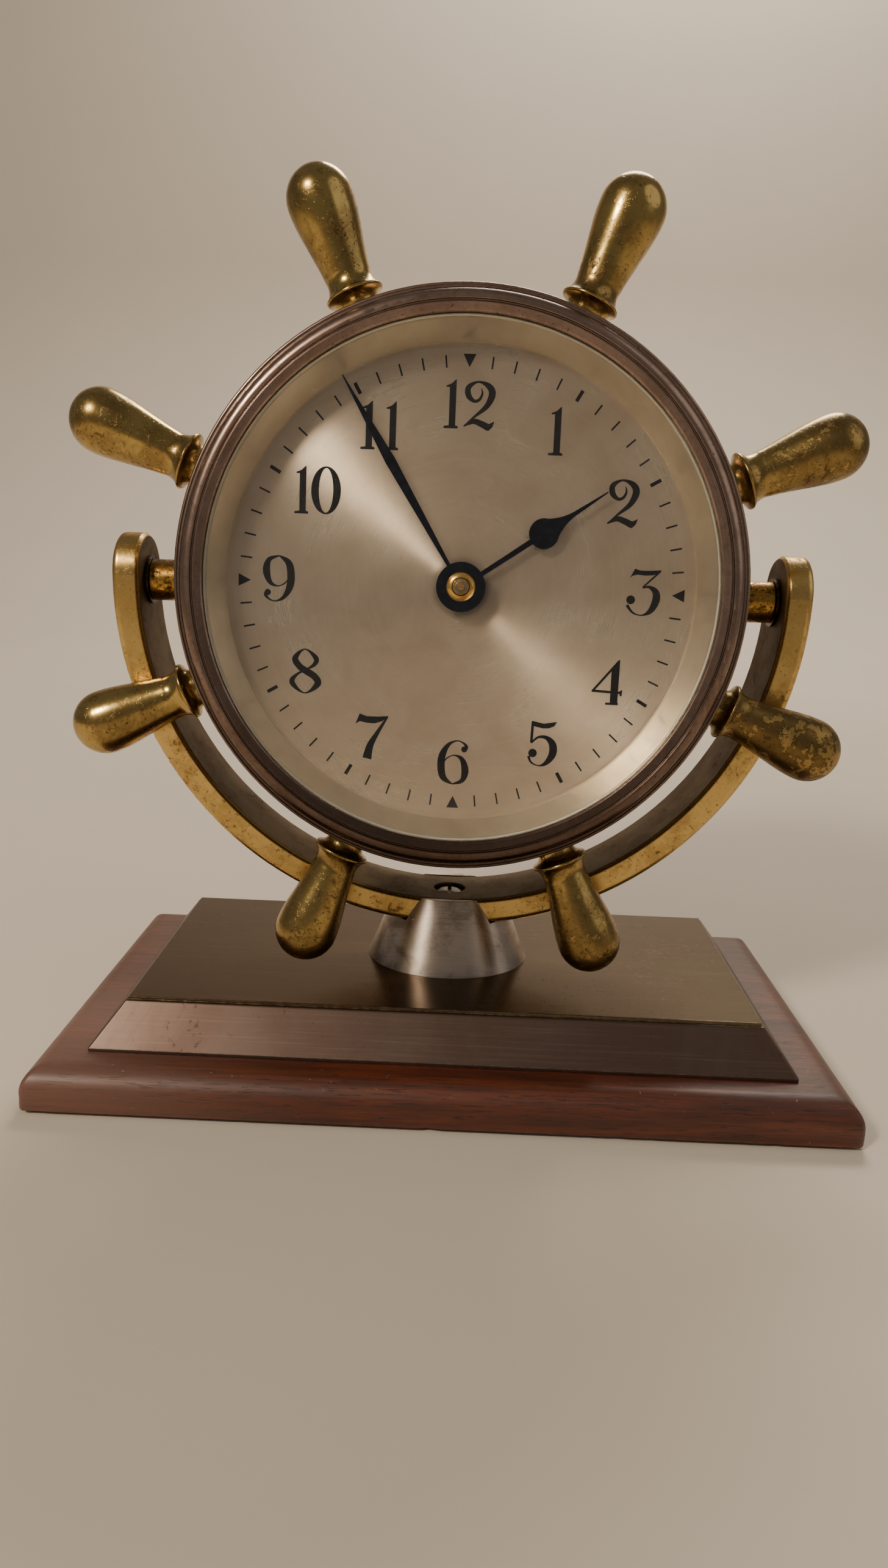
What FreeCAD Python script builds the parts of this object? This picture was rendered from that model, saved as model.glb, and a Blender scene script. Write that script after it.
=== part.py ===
"""Ship's deck clock: a spoked wheel clock hung in a yoke on a pedestal, built piece by piece.

World frame: +Z up, -Y towards the viewer of the dial, origin under the middle of the base.
Clock frame (the head): origin on the pivot axis, +X right, +Y up the dial, +Z out of the dial.
All sizes are in millimetres.
"""
import FreeCAD, Part
import math
import os

V = FreeCAD.Vector
X_AXIS = V(1, 0, 0)
Y_AXIS = V(0, 1, 0)
Z_AXIS = V(0, 0, 1)

# ---- driving dimensions: base ----------------------------------------------------------------
FELT_T = 1.0
WOOD_W, WOOD_D, WOOD_H = 202.0, 112.0, 10.5
WOOD_EDGE_R = 6.3
PLATE_W, PLATE_D, PLATE_H = 175.0, 90.0, 11.5
PLATE_BEVEL = 7.3
PLATE_LIP = 1.0
PANEL_INSET = 0.7
PANEL_RISE = 0.8
DECK_SCREW_PLACES = [(x, y) for x in (-70, 70) for y in (-30, 30)]
FELT_INSET = 5.0
WOOD_Z = FELT_T
PLATE_Z = WOOD_Z + WOOD_H
DECK_Z = PLATE_Z + PLATE_H

# ---- driving dimensions: pedestal and yoke ---------------------------------------------------
PIVOT_Z = 124.5
YOKE_RI, YOKE_RO = 82.0, 89.0
YOKE_HALF_W = 10.5
YOKE_CHAMFER, YOKE_ROUND = 0.9, 1.6
ARM_RISE = 1.5
PEDESTAL_BASE, PEDESTAL_TOP = (22.3, 18.3), (14.6, 12.3)
SLOT_PLAY = 0.05
PIVOT_R = 2.5
PIVOT_PLAY = 0.05
WASHER_T, WASHER_GAP = 0.8, 0.3
TRUNNION_END = YOKE_RI - WASHER_GAP - WASHER_T - 0.15

# ---- driving dimensions: head ----------------------------------------------------------------
TILT_DEG = 5.0
CASE_R, CASE_WALL = 62.0, 3.0
CASE_BACK = -26.0
RING_R = 66.6
RING_LOW, RING_TOP = 15.0, 24.8
LEDGE_R = 56.0
SPOKE_COUNT = 8
SPOKE_PLANE = 19.7
SPOKE_TIP = 102.4
SPOKE_END_R = 7.9
BEZEL_R = 67.8
GLASS_OPENING_R = 60.8
GLASS_R, GLASS_T = 64.3, 2.0
GLASS_BACK = 28.4
DIAL_FRONT = 20.0
DIAL_T = 0.8
DIAL_R = 58.6
DIAL_SEEN_R = 57.1
COVER_T = 2.5

# ---- driving dimensions: movement ------------------------------------------------------------
FRONT_PLATE_Z, PLATE_T = 13.0, 2.0
BACK_PLATE_Z = -11.0
PLATE_R = 50.0
ARBOR_R = 1.0
SCREW_R = 1.5
TIME_MINUTES = 114.7          # minutes after twelve that the hands show
HOUR_HAND_SET = 1.9           # degrees by which the hour hand was pressed on behind its true place
CANNON_T, MINUTE_T, MINUTE_PINION_T, HOUR_T = 12, 36, 10, 40
MOTION_DISTANCE = 10.8
GREAT_T, CENTRE_PINION_T = 84, 12
TRAIN_WHEEL_T, TRAIN_PINION_T, FOURTH_T = 80, 10, 75
TRAIN_MODULE = 0.4
GREAT_MODULE = 0.5
ESCAPE_T, ESCAPE_R = 15, 6.5
RATCHET_T, RATCHET_R = 24, 9.0

# ---- arbor places in the clock frame (x, y) --------------------------------------------------


def step(origin, distance, degrees):
    """Point at a distance and a compass direction from another point."""
    turn = math.radians(degrees)
    return (origin[0] + distance * math.cos(turn), origin[1] + distance * math.sin(turn))


CENTRE = (0.0, 0.0)
BARREL_DIR, THIRD_DIR, FOURTH_DIR, ESCAPE_DIR = 225.0, 20.0, 80.0, 170.0
MINUTE_DIR, SET_DIR = -70.0, -60.0
BARREL = step(CENTRE, GREAT_MODULE * (GREAT_T + CENTRE_PINION_T) / 2, BARREL_DIR)
THIRD = step(CENTRE, TRAIN_MODULE * (TRAIN_WHEEL_T + TRAIN_PINION_T) / 2, THIRD_DIR)
FOURTH = step(THIRD, TRAIN_MODULE * (TRAIN_WHEEL_T + TRAIN_PINION_T) / 2, FOURTH_DIR)
ESCAPE = step(FOURTH, TRAIN_MODULE * (FOURTH_T + TRAIN_PINION_T) / 2, ESCAPE_DIR)
LEVER = step(ESCAPE, 9.6, ESCAPE_DIR)
BALANCE = step(ESCAPE, 22.0, ESCAPE_DIR)
MINUTE_ARBOR = step(CENTRE, MOTION_DISTANCE, MINUTE_DIR)
SET_ARBOR = step(MINUTE_ARBOR, MOTION_DISTANCE, SET_DIR)
CLICK = step(BARREL, 14.5, 100.0)
PILLAR_DIRS = (5.0, 95.0, 178.0, 290.0)
PILLAR_R = 45.0
COVER_SCREW_DIRS = (30.0, 150.0, 270.0)
HEAD = FreeCAD.Placement(V(0, 0, PIVOT_Z), FreeCAD.Rotation(X_AXIS, 90 - TILT_DEG))

# ---- shape helpers ---------------------------------------------------------------------------


def disc(radius, z0, z1, at=(0.0, 0.0)):
    """Upright cylinder between two heights."""
    return Part.makeCylinder(radius, z1 - z0, V(at[0], at[1], z0))


def ring(r_out, r_in, z0, z1, at=(0.0, 0.0)):
    """Upright tube between two heights."""
    return disc(r_out, z0, z1, at).cut(disc(r_in, z0 - 1, z1 + 1, at))


def rod(radius, start, end):
    """Cylinder from one point to another."""
    along = end - start
    return Part.makeCylinder(radius, along.Length, start, along)


def block(x0, x1, y0, y1, z0, z1):
    """Box from its limits."""
    return Part.makeBox(x1 - x0, y1 - y0, z1 - z0, V(x0, y0, z0))


def outline(start, *steps):
    """Closed flat face: a step is a point, a (via, end) pair for an arc, or a list for a spline."""
    edges = []
    here = V(*start)
    for stop in steps + (start,):
        if isinstance(stop, list):
            curve = Part.BSplineCurve()
            curve.interpolate([here] + [V(*point) for point in stop])
            edges.append(curve.toShape())
            end = V(*stop[-1])
        elif isinstance(stop[0], tuple):
            via, end = V(*stop[0]), V(*stop[1])
            edges.append(Part.Arc(here, via, end).toShape())
        else:
            end = V(*stop)
            if (end - here).Length > 1e-6:
                edges.append(Part.makeLine(here, end))
        here = end
    return Part.Face(Part.Wire(edges))


def turned(start, *steps):
    """Solid of revolution about Z from a profile of (radius, height) points, arcs and splines."""
    def lift(item):
        if isinstance(item[0], tuple):
            return type(item)(lift(part) for part in item)
        return (item[0], 0.0, item[1])
    return outline(lift(start), *[lift(s) for s in steps]).revolve(V(0, 0, 0), Z_AXIS, 360)


def plate_from(z0, z1, start, *steps):
    """Flat plate of an (x, y) outline between two heights."""
    def lift(item):
        if isinstance(item[0], tuple):
            return type(item)(lift(part) for part in item)
        return (item[0], item[1], z0)
    return outline(lift(start), *[lift(s) for s in steps]).extrude(V(0, 0, z1 - z0))


def spun(shape, degrees, at=(0.0, 0.0)):
    """Copy of a shape turned about an upright axis."""
    copy = shape.copy()
    copy.rotate(V(at[0], at[1], 0), Z_AXIS, degrees)
    return copy


def moved(shape, x, y, z=0.0):
    """Copy of a shape shifted in space."""
    copy = shape.copy()
    copy.translate(V(x, y, z))
    return copy


def fused(*shapes):
    """One solid from several that touch or overlap."""
    return shapes[0].multiFuse(list(shapes[1:])).removeSplitter()


def polar(radius, degrees):
    """(x, y) at a radius and an angle."""
    return step((0.0, 0.0), radius, degrees)


def spiral_strip(turns, inner, outer, thickness, z0, z1):
    """Flat-wound strip: an even spiral wall between two radii, standing between two heights."""
    steps = 24 * turns
    walls = []
    for offset in (thickness / 2, -thickness / 2):
        points = []
        for k in range(steps + 1):
            x, y = step((0.0, 0.0), inner + (outer - inner) * k / steps + offset, 15.0 * k)
            points.append(V(x, y, z0))
        walls.append(points)
    curves = []
    for points in walls:
        curve = Part.BSplineCurve()
        curve.interpolate(points)
        curves.append(curve.toShape())
    ends = [Part.makeLine(walls[0][end], walls[1][end]) for end in (0, -1)]
    wire = Part.Wire(Part.__sortEdges__(curves + ends))
    return Part.Face(wire).extrude(V(0, 0, z1 - z0))


# ---- gears -----------------------------------------------------------------------------------


def flank_angle(radius, base_r):
    """Involute angle, in radians, of a flank point at a radius."""
    if radius <= base_r:
        return 0.0
    press = math.acos(base_r / radius)
    return math.tan(press) - press


def gear(teeth, module, z0, z1, phase=0.0, slack=0.14, tip=0.8, root=1.15):
    """Spur gear blank with involute flanks; phase is the angle of one tooth, slack its thinning."""
    pitch_r = module * teeth / 2
    base_r = pitch_r * math.cos(math.radians(20))
    root_r = pitch_r - root * module
    tip_r = pitch_r + tip * module
    low_r = max(base_r, root_r)
    half = math.pi / (2 * teeth) - slack * module / pitch_r + flank_angle(pitch_r, base_r)
    radii = [low_r + (tip_r - low_r) * part for part in (0.0, 0.35, 0.7, 1.0)]
    points = []
    for tooth in range(teeth):
        middle = math.radians(phase) + 2 * math.pi * tooth / teeth
        rising = [(r, middle - half + flank_angle(r, base_r)) for r in radii]
        falling = [(r, middle + half - flank_angle(r, base_r)) for r in reversed(radii)]
        sides = rising + falling
        if root_r < low_r - 1e-6:
            sides = [(root_r, sides[0][1])] + sides + [(root_r, sides[-1][1])]
        points += [V(r * math.cos(a), r * math.sin(a), z0) for r, a in sides]
    face = Part.Face(Part.makePolygon(points + [points[0]]))
    return face.extrude(V(0, 0, z1 - z0))


def meshed_phase(teeth_a, phase_a, teeth_b, direction):
    """Phase that puts gear b in mesh with gear a, with b lying in a direction from a."""
    return direction + 180 - (phase_a - direction) * teeth_a / teeth_b - 180 / teeth_b


def crossings(blank, hub_r, rim_r, arms, z0, z1):
    """Wheel with its web cut away between the arms."""
    window = ring(rim_r, hub_r, z0 - 1, z1 + 1)
    for arm in range(arms):
        bar = block(0, rim_r + 2, -hub_r * 0.35, hub_r * 0.35, z0 - 2, z1 + 2)
        window = window.cut(spun(bar, 360 / arms * arm))
    return blank.cut(window)


def arbor(z0, z1, radius=ARBOR_R, pivot_r=0.5, pivot=PLATE_T * 0.9):
    """Plain arbor with a thinner pivot at each end."""
    return fused(disc(radius, z0, z1), disc(pivot_r, z0 - pivot, z0), disc(pivot_r, z1, z1 + pivot))


def screw(radius, head_r, head_h, length, slot=0.6):
    """Slotted round-headed screw: the head's underside is at height 0 and the shank goes down."""
    head = turned((0, 0), (head_r, 0), (head_r, head_h * 0.6),
                  ((head_r * 0.8, head_h * 0.9), (0, head_h)))
    cut = block(-slot / 2, slot / 2, -head_r - 1, head_r + 1, head_h * 0.55, head_h + 1)
    return fused(head.cut(cut), disc(radius, -length, 0))


# ---- base pieces -----------------------------------------------------------------------------


def ovolo_bar(width, length):
    """Bar along Y with both long top edges rounded over, sitting on z = 0."""
    half = width / 2
    flat = half - WOOD_EDGE_R
    knee = WOOD_H - WOOD_EDGE_R
    bulge = WOOD_EDGE_R * math.sin(math.radians(45))
    face = outline(
        (-half, -length / 2, 0), (half, -length / 2, 0), (half, -length / 2, knee),
        ((flat + bulge, -length / 2, knee + bulge), (flat, -length / 2, WOOD_H)),
        (-flat, -length / 2, WOOD_H),
        ((-flat - bulge, -length / 2, knee + bulge), (-half, -length / 2, knee)))
    return face.extrude(V(0, length, 0))


def make_felt_pad():
    """Felt sheet under the wood, a little smaller all round."""
    half_w, half_d = WOOD_W / 2 - FELT_INSET, WOOD_D / 2 - FELT_INSET
    return block(-half_w, half_w, -half_d, half_d, 0, FELT_T)


def make_wood_base():
    """Wooden plinth, rounded over on all four sides and drilled from below."""
    across = ovolo_bar(WOOD_W, WOOD_D)
    along = spun(ovolo_bar(WOOD_D, WOOD_W), 90)
    body = moved(across.common(along), 0, 0, WOOD_Z)
    holes = [disc(3.3, WOOD_Z - 1, PLATE_Z + 1), disc(9.0, WOOD_Z - 1, WOOD_Z + 5)]
    for at in DECK_SCREW_PLACES:
        holes.append(disc(1.6, WOOD_Z - 1, PLATE_Z + 1, at))
        holes.append(disc(3.4, WOOD_Z - 1, WOOD_Z + 3, at))
    return body.cut(Part.makeCompound(holes))


def rectangle_wire(width, depth, z):
    """Closed rectangle centred on the Z axis."""
    w, d = width / 2, depth / 2
    corners = [V(-w, -d, z), V(w, -d, z), V(w, d, z), V(-w, d, z), V(-w, -d, z)]
    return Part.makePolygon(corners)


def make_base_plate():
    """Metal deck plate: a lip, four sloping sides and a slightly raised top panel."""
    top_w = PLATE_W - 2 * PLATE_BEVEL
    top_d = PLATE_D - 2 * PLATE_BEVEL
    step_z = DECK_Z - PANEL_RISE
    lip = block(-PLATE_W / 2, PLATE_W / 2, -PLATE_D / 2, PLATE_D / 2, PLATE_Z, PLATE_Z + PLATE_LIP)
    slope = Part.makeLoft([rectangle_wire(PLATE_W, PLATE_D, PLATE_Z + PLATE_LIP),
                           rectangle_wire(top_w, top_d, step_z)], True, True)
    panel_w, panel_d = top_w - 2 * PANEL_INSET, top_d - 2 * PANEL_INSET
    panel = block(-panel_w / 2, panel_w / 2, -panel_d / 2, panel_d / 2, step_z, DECK_Z)
    body = fused(lip, slope, panel)
    hollow = Part.makeLoft([rectangle_wire(PLATE_W - 8, PLATE_D - 8, PLATE_Z - 0.01),
                            rectangle_wire(top_w - 8, top_d - 8, DECK_Z - 3.5)], True, True)
    bosses = [disc(10, PLATE_Z - 1, DECK_Z)]
    bosses += [disc(3.5, PLATE_Z - 1, DECK_Z - 1, at) for at in DECK_SCREW_PLACES]
    hollow = hollow.cut(Part.makeCompound(bosses))
    holes = [disc(3.05, PLATE_Z - 1, DECK_Z + 1)]
    holes += [disc(1.55, PLATE_Z - 1, PLATE_Z + 5, at) for at in DECK_SCREW_PLACES]
    return body.cut(hollow).cut(Part.makeCompound(holes))


def make_plate_screws():
    """Four screws that hold the deck plate, driven up through the wood."""
    one = screw(SCREW_R, 3.0, 2.0, WOOD_H - 3 + 4.6)
    one.rotate(V(0, 0, 0), X_AXIS, 180)
    return Part.makeCompound([moved(one, x, y, WOOD_Z + 3) for x, y in DECK_SCREW_PLACES])


def make_pedestal():
    """Truncated oval cone with a slot across its top for the yoke."""
    top_z = PIVOT_Z - YOKE_RI + 0.2
    ovals = [Part.Wire(Part.Ellipse(V(0, 0, z), *halves).toShape())
             for z, halves in ((DECK_Z, PEDESTAL_BASE), (top_z, PEDESTAL_TOP))]
    cone = Part.makeLoft(ovals, True, True)
    reach = YOKE_HALF_W + SLOT_PLAY
    seat = rod(YOKE_RO, V(0, -reach, PIVOT_Z), V(0, reach, PIVOT_Z))
    body = cone.cut(seat)
    bolt_hole = disc(3.0, DECK_Z - 1, DECK_Z + 6)
    screw_hole = disc(2.5, DECK_Z + 6.8, top_z)
    return body.cut(bolt_hole).cut(screw_hole)


def make_pedestal_bolt():
    """Hexagon bolt that holds the pedestal from under the wood."""
    head_z = WOOD_Z + 0.6
    hexagon = [V(*polar(5.6, 60 * k), head_z) for k in range(7)]
    head = Part.Face(Part.makePolygon(hexagon)).extrude(V(0, 0, 3.2))
    return fused(head, disc(2.95, head_z + 3.2, DECK_Z + 5.5))


def rim_edges(strap, side_x):
    """The edges along the strap's inner or outer side, without the seams that cross it."""
    found = []
    for edge in strap.Edges:
        first, last = edge.Vertexes[0], edge.Vertexes[-1]
        on_side = abs(abs(first.X) - side_x) < 0.01 and abs(abs(last.X) - side_x) < 0.01
        seam = abs(first.Y - last.Y) > 1 and edge.Length < 2 * YOKE_HALF_W + 0.1
        if on_side and not seam:
            found.append(edge)
    return found


def make_yoke():
    """U-shaped strap with rounded arm ends, chamfered inside and rounded outside."""
    low = rod(YOKE_RO, V(0, -YOKE_HALF_W, 0), V(0, YOKE_HALF_W, 0))
    low = low.cut(rod(YOKE_RI, V(0, -YOKE_HALF_W - 1, 0), V(0, YOKE_HALF_W + 1, 0)))
    below = block(-YOKE_RO - 1, YOKE_RO + 1, -YOKE_HALF_W - 1, YOKE_HALF_W + 1, -YOKE_RO - 1, 0)
    low = low.common(below)
    arms = []
    for side in (-1, 1):
        inner, outer = sorted((side * YOKE_RI, side * YOKE_RO))
        arms.append(block(inner, outer, -YOKE_HALF_W, YOKE_HALF_W, 0, ARM_RISE))
        arms.append(rod(YOKE_HALF_W, V(inner, 0, ARM_RISE), V(outer, 0, ARM_RISE)).common(
            block(inner - 1, outer + 1, -20, 20, ARM_RISE, 40)))
    body = fused(low, *arms)
    body = body.makeChamfer(YOKE_CHAMFER, rim_edges(body, YOKE_RI))
    body = body.makeFillet(YOKE_ROUND, rim_edges(body, YOKE_RO))
    body = body.cut(rod(PIVOT_R + PIVOT_PLAY, V(-YOKE_RO - 1, 0, 0), V(YOKE_RO + 1, 0, 0)))
    body = body.cut(disc(2.6, -YOKE_RO - 1, -YOKE_RI + 1)).cut(disc(4.4, -YOKE_RI - 2.6, -YOKE_RI + 1))
    return moved(body, 0, 0, PIVOT_Z)


def make_friction_washers():
    """Two dished washers between the arms and the trunnions."""
    solids = []
    for side in (-1, 1):
        start = V(side * (YOKE_RI - WASHER_GAP - WASHER_T), 0, PIVOT_Z)
        end = V(side * (YOKE_RI - WASHER_GAP), 0, PIVOT_Z)
        bore = rod(PIVOT_R + 0.35, V(-90, 0, PIVOT_Z), V(90, 0, PIVOT_Z))
        solids.append(rod(6.2, start, end).cut(bore))
    return Part.makeCompound(solids)


# ---- head pieces, in the clock frame ---------------------------------------------------------


def make_case_drum():
    """Drum with a thick front ring for the spokes and a ledge for the movement."""
    bore = CASE_R - CASE_WALL
    body = turned(
        (bore, CASE_BACK), (CASE_R, CASE_BACK), (CASE_R, RING_LOW - 3),
        ((63.6, RING_LOW - 1.2), (RING_R, RING_LOW)),
        (RING_R, RING_TOP), (64.4, RING_TOP), (64.4, RING_TOP + 1.2), (62.2, RING_TOP + 1.2),
        (62.2, RING_TOP - 4), (bore, RING_TOP - 4), (bore, FRONT_PLATE_Z), (LEDGE_R, FRONT_PLATE_Z),
        (LEDGE_R, FRONT_PLATE_Z - 3), (bore, FRONT_PLATE_Z - 6))
    cuts = [rod(3.0, V(-70, 0, 0), V(70, 0, 0))]
    for k in range(SPOKE_COUNT):
        a = math.radians(22.5 + 360 / SPOKE_COUNT * k)
        out = V(math.sin(a), math.cos(a), 0)
        cuts.append(rod(1.85, out * 50 + V(0, 0, SPOKE_PLANE), out * 80 + V(0, 0, SPOKE_PLANE)))
    for deg in COVER_SCREW_DIRS:
        cuts.append(disc(0.9, CASE_BACK - 1, CASE_BACK + 7, polar(bore + 1.5, deg)))
        cuts.append(disc(1.0, FRONT_PLATE_Z - 2.5, FRONT_PLATE_Z + 1, polar(57.3, deg + 60)))
    return body.cut(Part.makeCompound(cuts))


def make_trunnions():
    """Two stub shafts screwed into the sides of the drum."""
    solids = []
    for side in (-1, 1):
        def at(x):
            return V(side * x, 0, 0)
        stub = fused(rod(3.0, at(59.5), at(63)), rod(6.8, at(61.6), at(64.4)),
                     rod(5.3, at(64.4), at(TRUNNION_END)))
        spigot_way = rod(3.0, V(-70, 0, 0), V(70, 0, 0))
        stub = stub.cut(rod(CASE_R + 0.02, V(0, 0, -20), V(0, 0, 20)).cut(spigot_way))
        solids.append(stub.cut(rod(2.05, at(71), at(90))))
    return Part.makeCompound(solids)


def make_pivot_screws():
    """Two dome-headed shoulder screws through the yoke arms into the trunnions."""
    solids = []
    for side in (-1, 1):
        head = turned((0, 0), (4.0, 0), (4.0, 0.5), ((2.6, 1.7), (0, 2.1)))
        head = head.cut(block(-0.4, 0.4, -5, 5, 1.2, 3))
        shoulder = YOKE_RO + 0.05 - TRUNNION_END
        shank = fused(head, disc(PIVOT_R, -shoulder, 0), disc(2.0, -17, -shoulder))
        shank.rotate(V(0, 0, 0), Y_AXIS, 90 * side)
        solids.append(moved(shank, side * (YOKE_RO + 0.05), 0, 0))
    return Part.makeCompound(solids)


def make_bezel():
    """Stepped bezel: thin outer rim, rounded band, narrow groove and inner slope to the glass."""
    return turned(
        (GLASS_OPENING_R, 30.4), (GLASS_OPENING_R, 30.7), (61.1, 31.0), (62.9, 31.5),
        (63.15, 31.1), (63.45, 31.1), (63.6, 31.5), ((65.3, 31.1), (66.3, 29.6)),
        (66.55, 29.2), (67.0, 29.2), (67.2, 29.4), ((67.65, 29.2), (BEZEL_R, 28.6)),
        (BEZEL_R, 27.2), (67.3, 26.8), (67.3, RING_TOP + 0.6), (66.9, RING_TOP + 0.1),
        (64.5, RING_TOP + 0.1), (64.5, 30.4))


def make_glass():
    """Flat glass with a small edge chamfer."""
    top = GLASS_BACK + GLASS_T
    return turned((0, GLASS_BACK), (GLASS_R - 0.3, GLASS_BACK), (GLASS_R, GLASS_BACK + 0.3),
                  (GLASS_R, top - 0.3), (GLASS_R - 0.3, top), (0, top))


def make_glass_ring():
    """Brass ring that holds the glass in the bezel."""
    return turned((61.9, 26.3), (64.3, 26.3), (64.3, GLASS_BACK), (62.2, GLASS_BACK),
                  (61.9, GLASS_BACK - 0.3))


def make_reflector():
    """Pale cone between glass and dial, with a rolled lip at its wide end."""
    return turned(
        (DIAL_SEEN_R, DIAL_FRONT), (58.5, DIAL_FRONT), (58.5, DIAL_FRONT + 0.6), (60.9, 26.9),
        (61.8, 26.9), (61.8, 28.3), (60.9, 28.3), (60.8, 27.9), (60.5, 27.8), (60.35, 27.2),
        (DIAL_SEEN_R, DIAL_FRONT + 0.4))


def make_dial_plate():
    """Dial disc with three soldered feet."""
    back = DIAL_FRONT - DIAL_T
    body = disc(DIAL_R, back, DIAL_FRONT)
    for deg in (60, 150, 285):
        body = fused(body, disc(1.4, FRONT_PLATE_Z + PLATE_T - 1.5, back, polar(38, deg)))
    return body.cut(disc(4.6, DIAL_FRONT - DIAL_T - 1, DIAL_FRONT + 1))


def make_dial_marks():
    """Printed minute track: sixty strokes, with four inward triangles at the quarters."""
    low, high = DIAL_FRONT, DIAL_FRONT + 0.06
    marks = []
    for minute in range(60):
        heavy = minute % 5 == 0
        half_w = 0.42 if heavy else 0.2
        mark = block(-half_w, half_w, 51.2, 54.0, low, high)
        if minute % 15 == 0:
            mark = plate_from(low, high, (-1.5, 54.2), (1.5, 54.2), (0, 51.2))
        marks.append(spun(mark, -6 * minute))
    return Part.makeCompound(marks)


def make_spoke(number):
    """One turned spoke handle with its threaded stud."""
    seat = RING_R
    round_z = SPOKE_TIP - SPOKE_END_R
    diagonal = SPOKE_END_R * math.sin(math.radians(45))
    handle = turned(
        (0, seat - 5), (1.8, seat - 5), (1.8, seat), (4.4, seat), ((4.8, seat + 0.9), (4.5, seat + 1.8)),
        ((4.9, seat + 3.7), (6.5, seat + 5.0)), ((6.95, seat + 5.4), (6.6, seat + 5.9)),
        ((5.6, seat + 7.6), (5.5, seat + 10.2)),
        [(6.0, seat + 14.0), (6.95, seat + 19.5), (7.75, seat + 24.8), (SPOKE_END_R, round_z)],
        ((diagonal, round_z + diagonal), (0, SPOKE_TIP)))
    handle.rotate(V(0, 0, 0), X_AXIS, -90)
    handle.translate(V(0, 0, SPOKE_PLANE))
    return spun(handle, -(22.5 + 360 / SPOKE_COUNT * number))


def make_back_cover():
    """Flat rear cover with holes for the winding square and the setting arbor."""
    z1 = CASE_BACK
    body = turned((0, z1 - COVER_T), (CASE_R - 1, z1 - COVER_T), (CASE_R, z1 - COVER_T + 1),
                  (CASE_R, z1), (0, z1))
    cuts = [disc(3.0, z1 - 5, z1 + 1, BARREL), disc(2.2, z1 - 5, z1 + 1, SET_ARBOR)]
    for deg in COVER_SCREW_DIRS:
        cuts.append(disc(1.0, z1 - 5, z1 + 1, polar(CASE_R - CASE_WALL + 1.5, deg)))
    return body.cut(Part.makeCompound(cuts))


def make_cover_screws():
    """Three screws that hold the rear cover."""
    solids = []
    for deg in COVER_SCREW_DIRS:
        one = screw(0.85, 1.7, 1.2, 7.5, 0.4)
        one.rotate(V(0, 0, 0), X_AXIS, 180)
        solids.append(moved(one, *polar(CASE_R - CASE_WALL + 1.5, deg), CASE_BACK - COVER_T))
    return Part.makeCompound(solids)


# ---- movement frame --------------------------------------------------------------------------


def pivot_holes(z0, z1, places):
    """Holes for arbor pivots."""
    return Part.makeCompound([disc(radius, z0, z1, at) for at, radius in places])


def make_front_plate():
    """Front movement plate, resting on the drum's ledge."""
    z0, z1 = FRONT_PLATE_Z, FRONT_PLATE_Z + PLATE_T
    places = [(CENTRE, 1.25), (BARREL, 2.05), (THIRD, 0.55), (FOURTH, 0.55), (ESCAPE, 0.55),
              (LEVER, 0.45), (BALANCE, 0.45), (MINUTE_ARBOR, 0.75), (SET_ARBOR, 1.05)]
    places += [(polar(38, deg), 1.45) for deg in (60, 150, 285)]
    places += [(polar(57.3, deg + 60), 1.0) for deg in COVER_SCREW_DIRS]
    places += [(polar(PILLAR_R, deg), 1.0) for deg in PILLAR_DIRS]
    return disc(58.6, z0, z1).cut(pivot_holes(z0 - 1, z1 + 1, places))


def make_back_plate():
    """Rear movement plate, opened under the balance."""
    z0, z1 = BACK_PLATE_Z, BACK_PLATE_Z + PLATE_T
    places = [(CENTRE, 0.85), (BARREL, 2.55), (THIRD, 0.55), (FOURTH, 0.55), (ESCAPE, 0.55),
              (LEVER, 0.45), (BALANCE, 8.0), (SET_ARBOR, 1.05), (CLICK, 1.05)]
    places += [(polar(PILLAR_R, deg), 1.0) for deg in PILLAR_DIRS]
    places += [(step(BALANCE, 11.0, ESCAPE_DIR + 90), 1.0)]
    return disc(PLATE_R, z0, z1).cut(pivot_holes(z0 - 1, z1 + 1, places))


def make_pillars():
    """Four pillars between the plates."""
    solids = []
    for deg in PILLAR_DIRS:
        at = polar(PILLAR_R, deg)
        post = turned((0.95, BACK_PLATE_Z + PLATE_T), (2.8, BACK_PLATE_Z + PLATE_T),
                      (2.8, BACK_PLATE_Z + 4), (2.1, BACK_PLATE_Z + 5), (2.1, FRONT_PLATE_Z - 3),
                      (2.8, FRONT_PLATE_Z - 2), (2.8, FRONT_PLATE_Z), (0.95, FRONT_PLATE_Z))
        solids.append(moved(post, *at))
    return Part.makeCompound(solids)


def make_pillar_screws():
    """Screws into both ends of each pillar, and the one that holds the balance cock."""
    solids = []
    for deg in PILLAR_DIRS:
        at = polar(PILLAR_R, deg)
        solids.append(moved(screw(0.9, 2.0, 1.2, 6.0, 0.4), *at, FRONT_PLATE_Z + PLATE_T))
        low = screw(0.9, 2.0, 1.2, 6.0, 0.4)
        low.rotate(V(0, 0, 0), X_AXIS, 180)
        solids.append(moved(low, *at, BACK_PLATE_Z))
    cock = screw(0.9, 2.0, 1.2, 6.5, 0.4)
    cock.rotate(V(0, 0, 0), X_AXIS, 180)
    solids.append(moved(cock, *step(BALANCE, 11.0, ESCAPE_DIR + 90), BACK_PLATE_Z - 4.8))
    return Part.makeCompound(solids)


def make_movement_screws():
    """Three screws that hold the front plate to the drum's ledge."""
    solids = []
    for deg in COVER_SCREW_DIRS:
        one = screw(0.95, 1.15, 0.9, 4.2, 0.3)
        solids.append(moved(one, *polar(57.3, deg + 60), FRONT_PLATE_Z + PLATE_T))
    return Part.makeCompound(solids)


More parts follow.
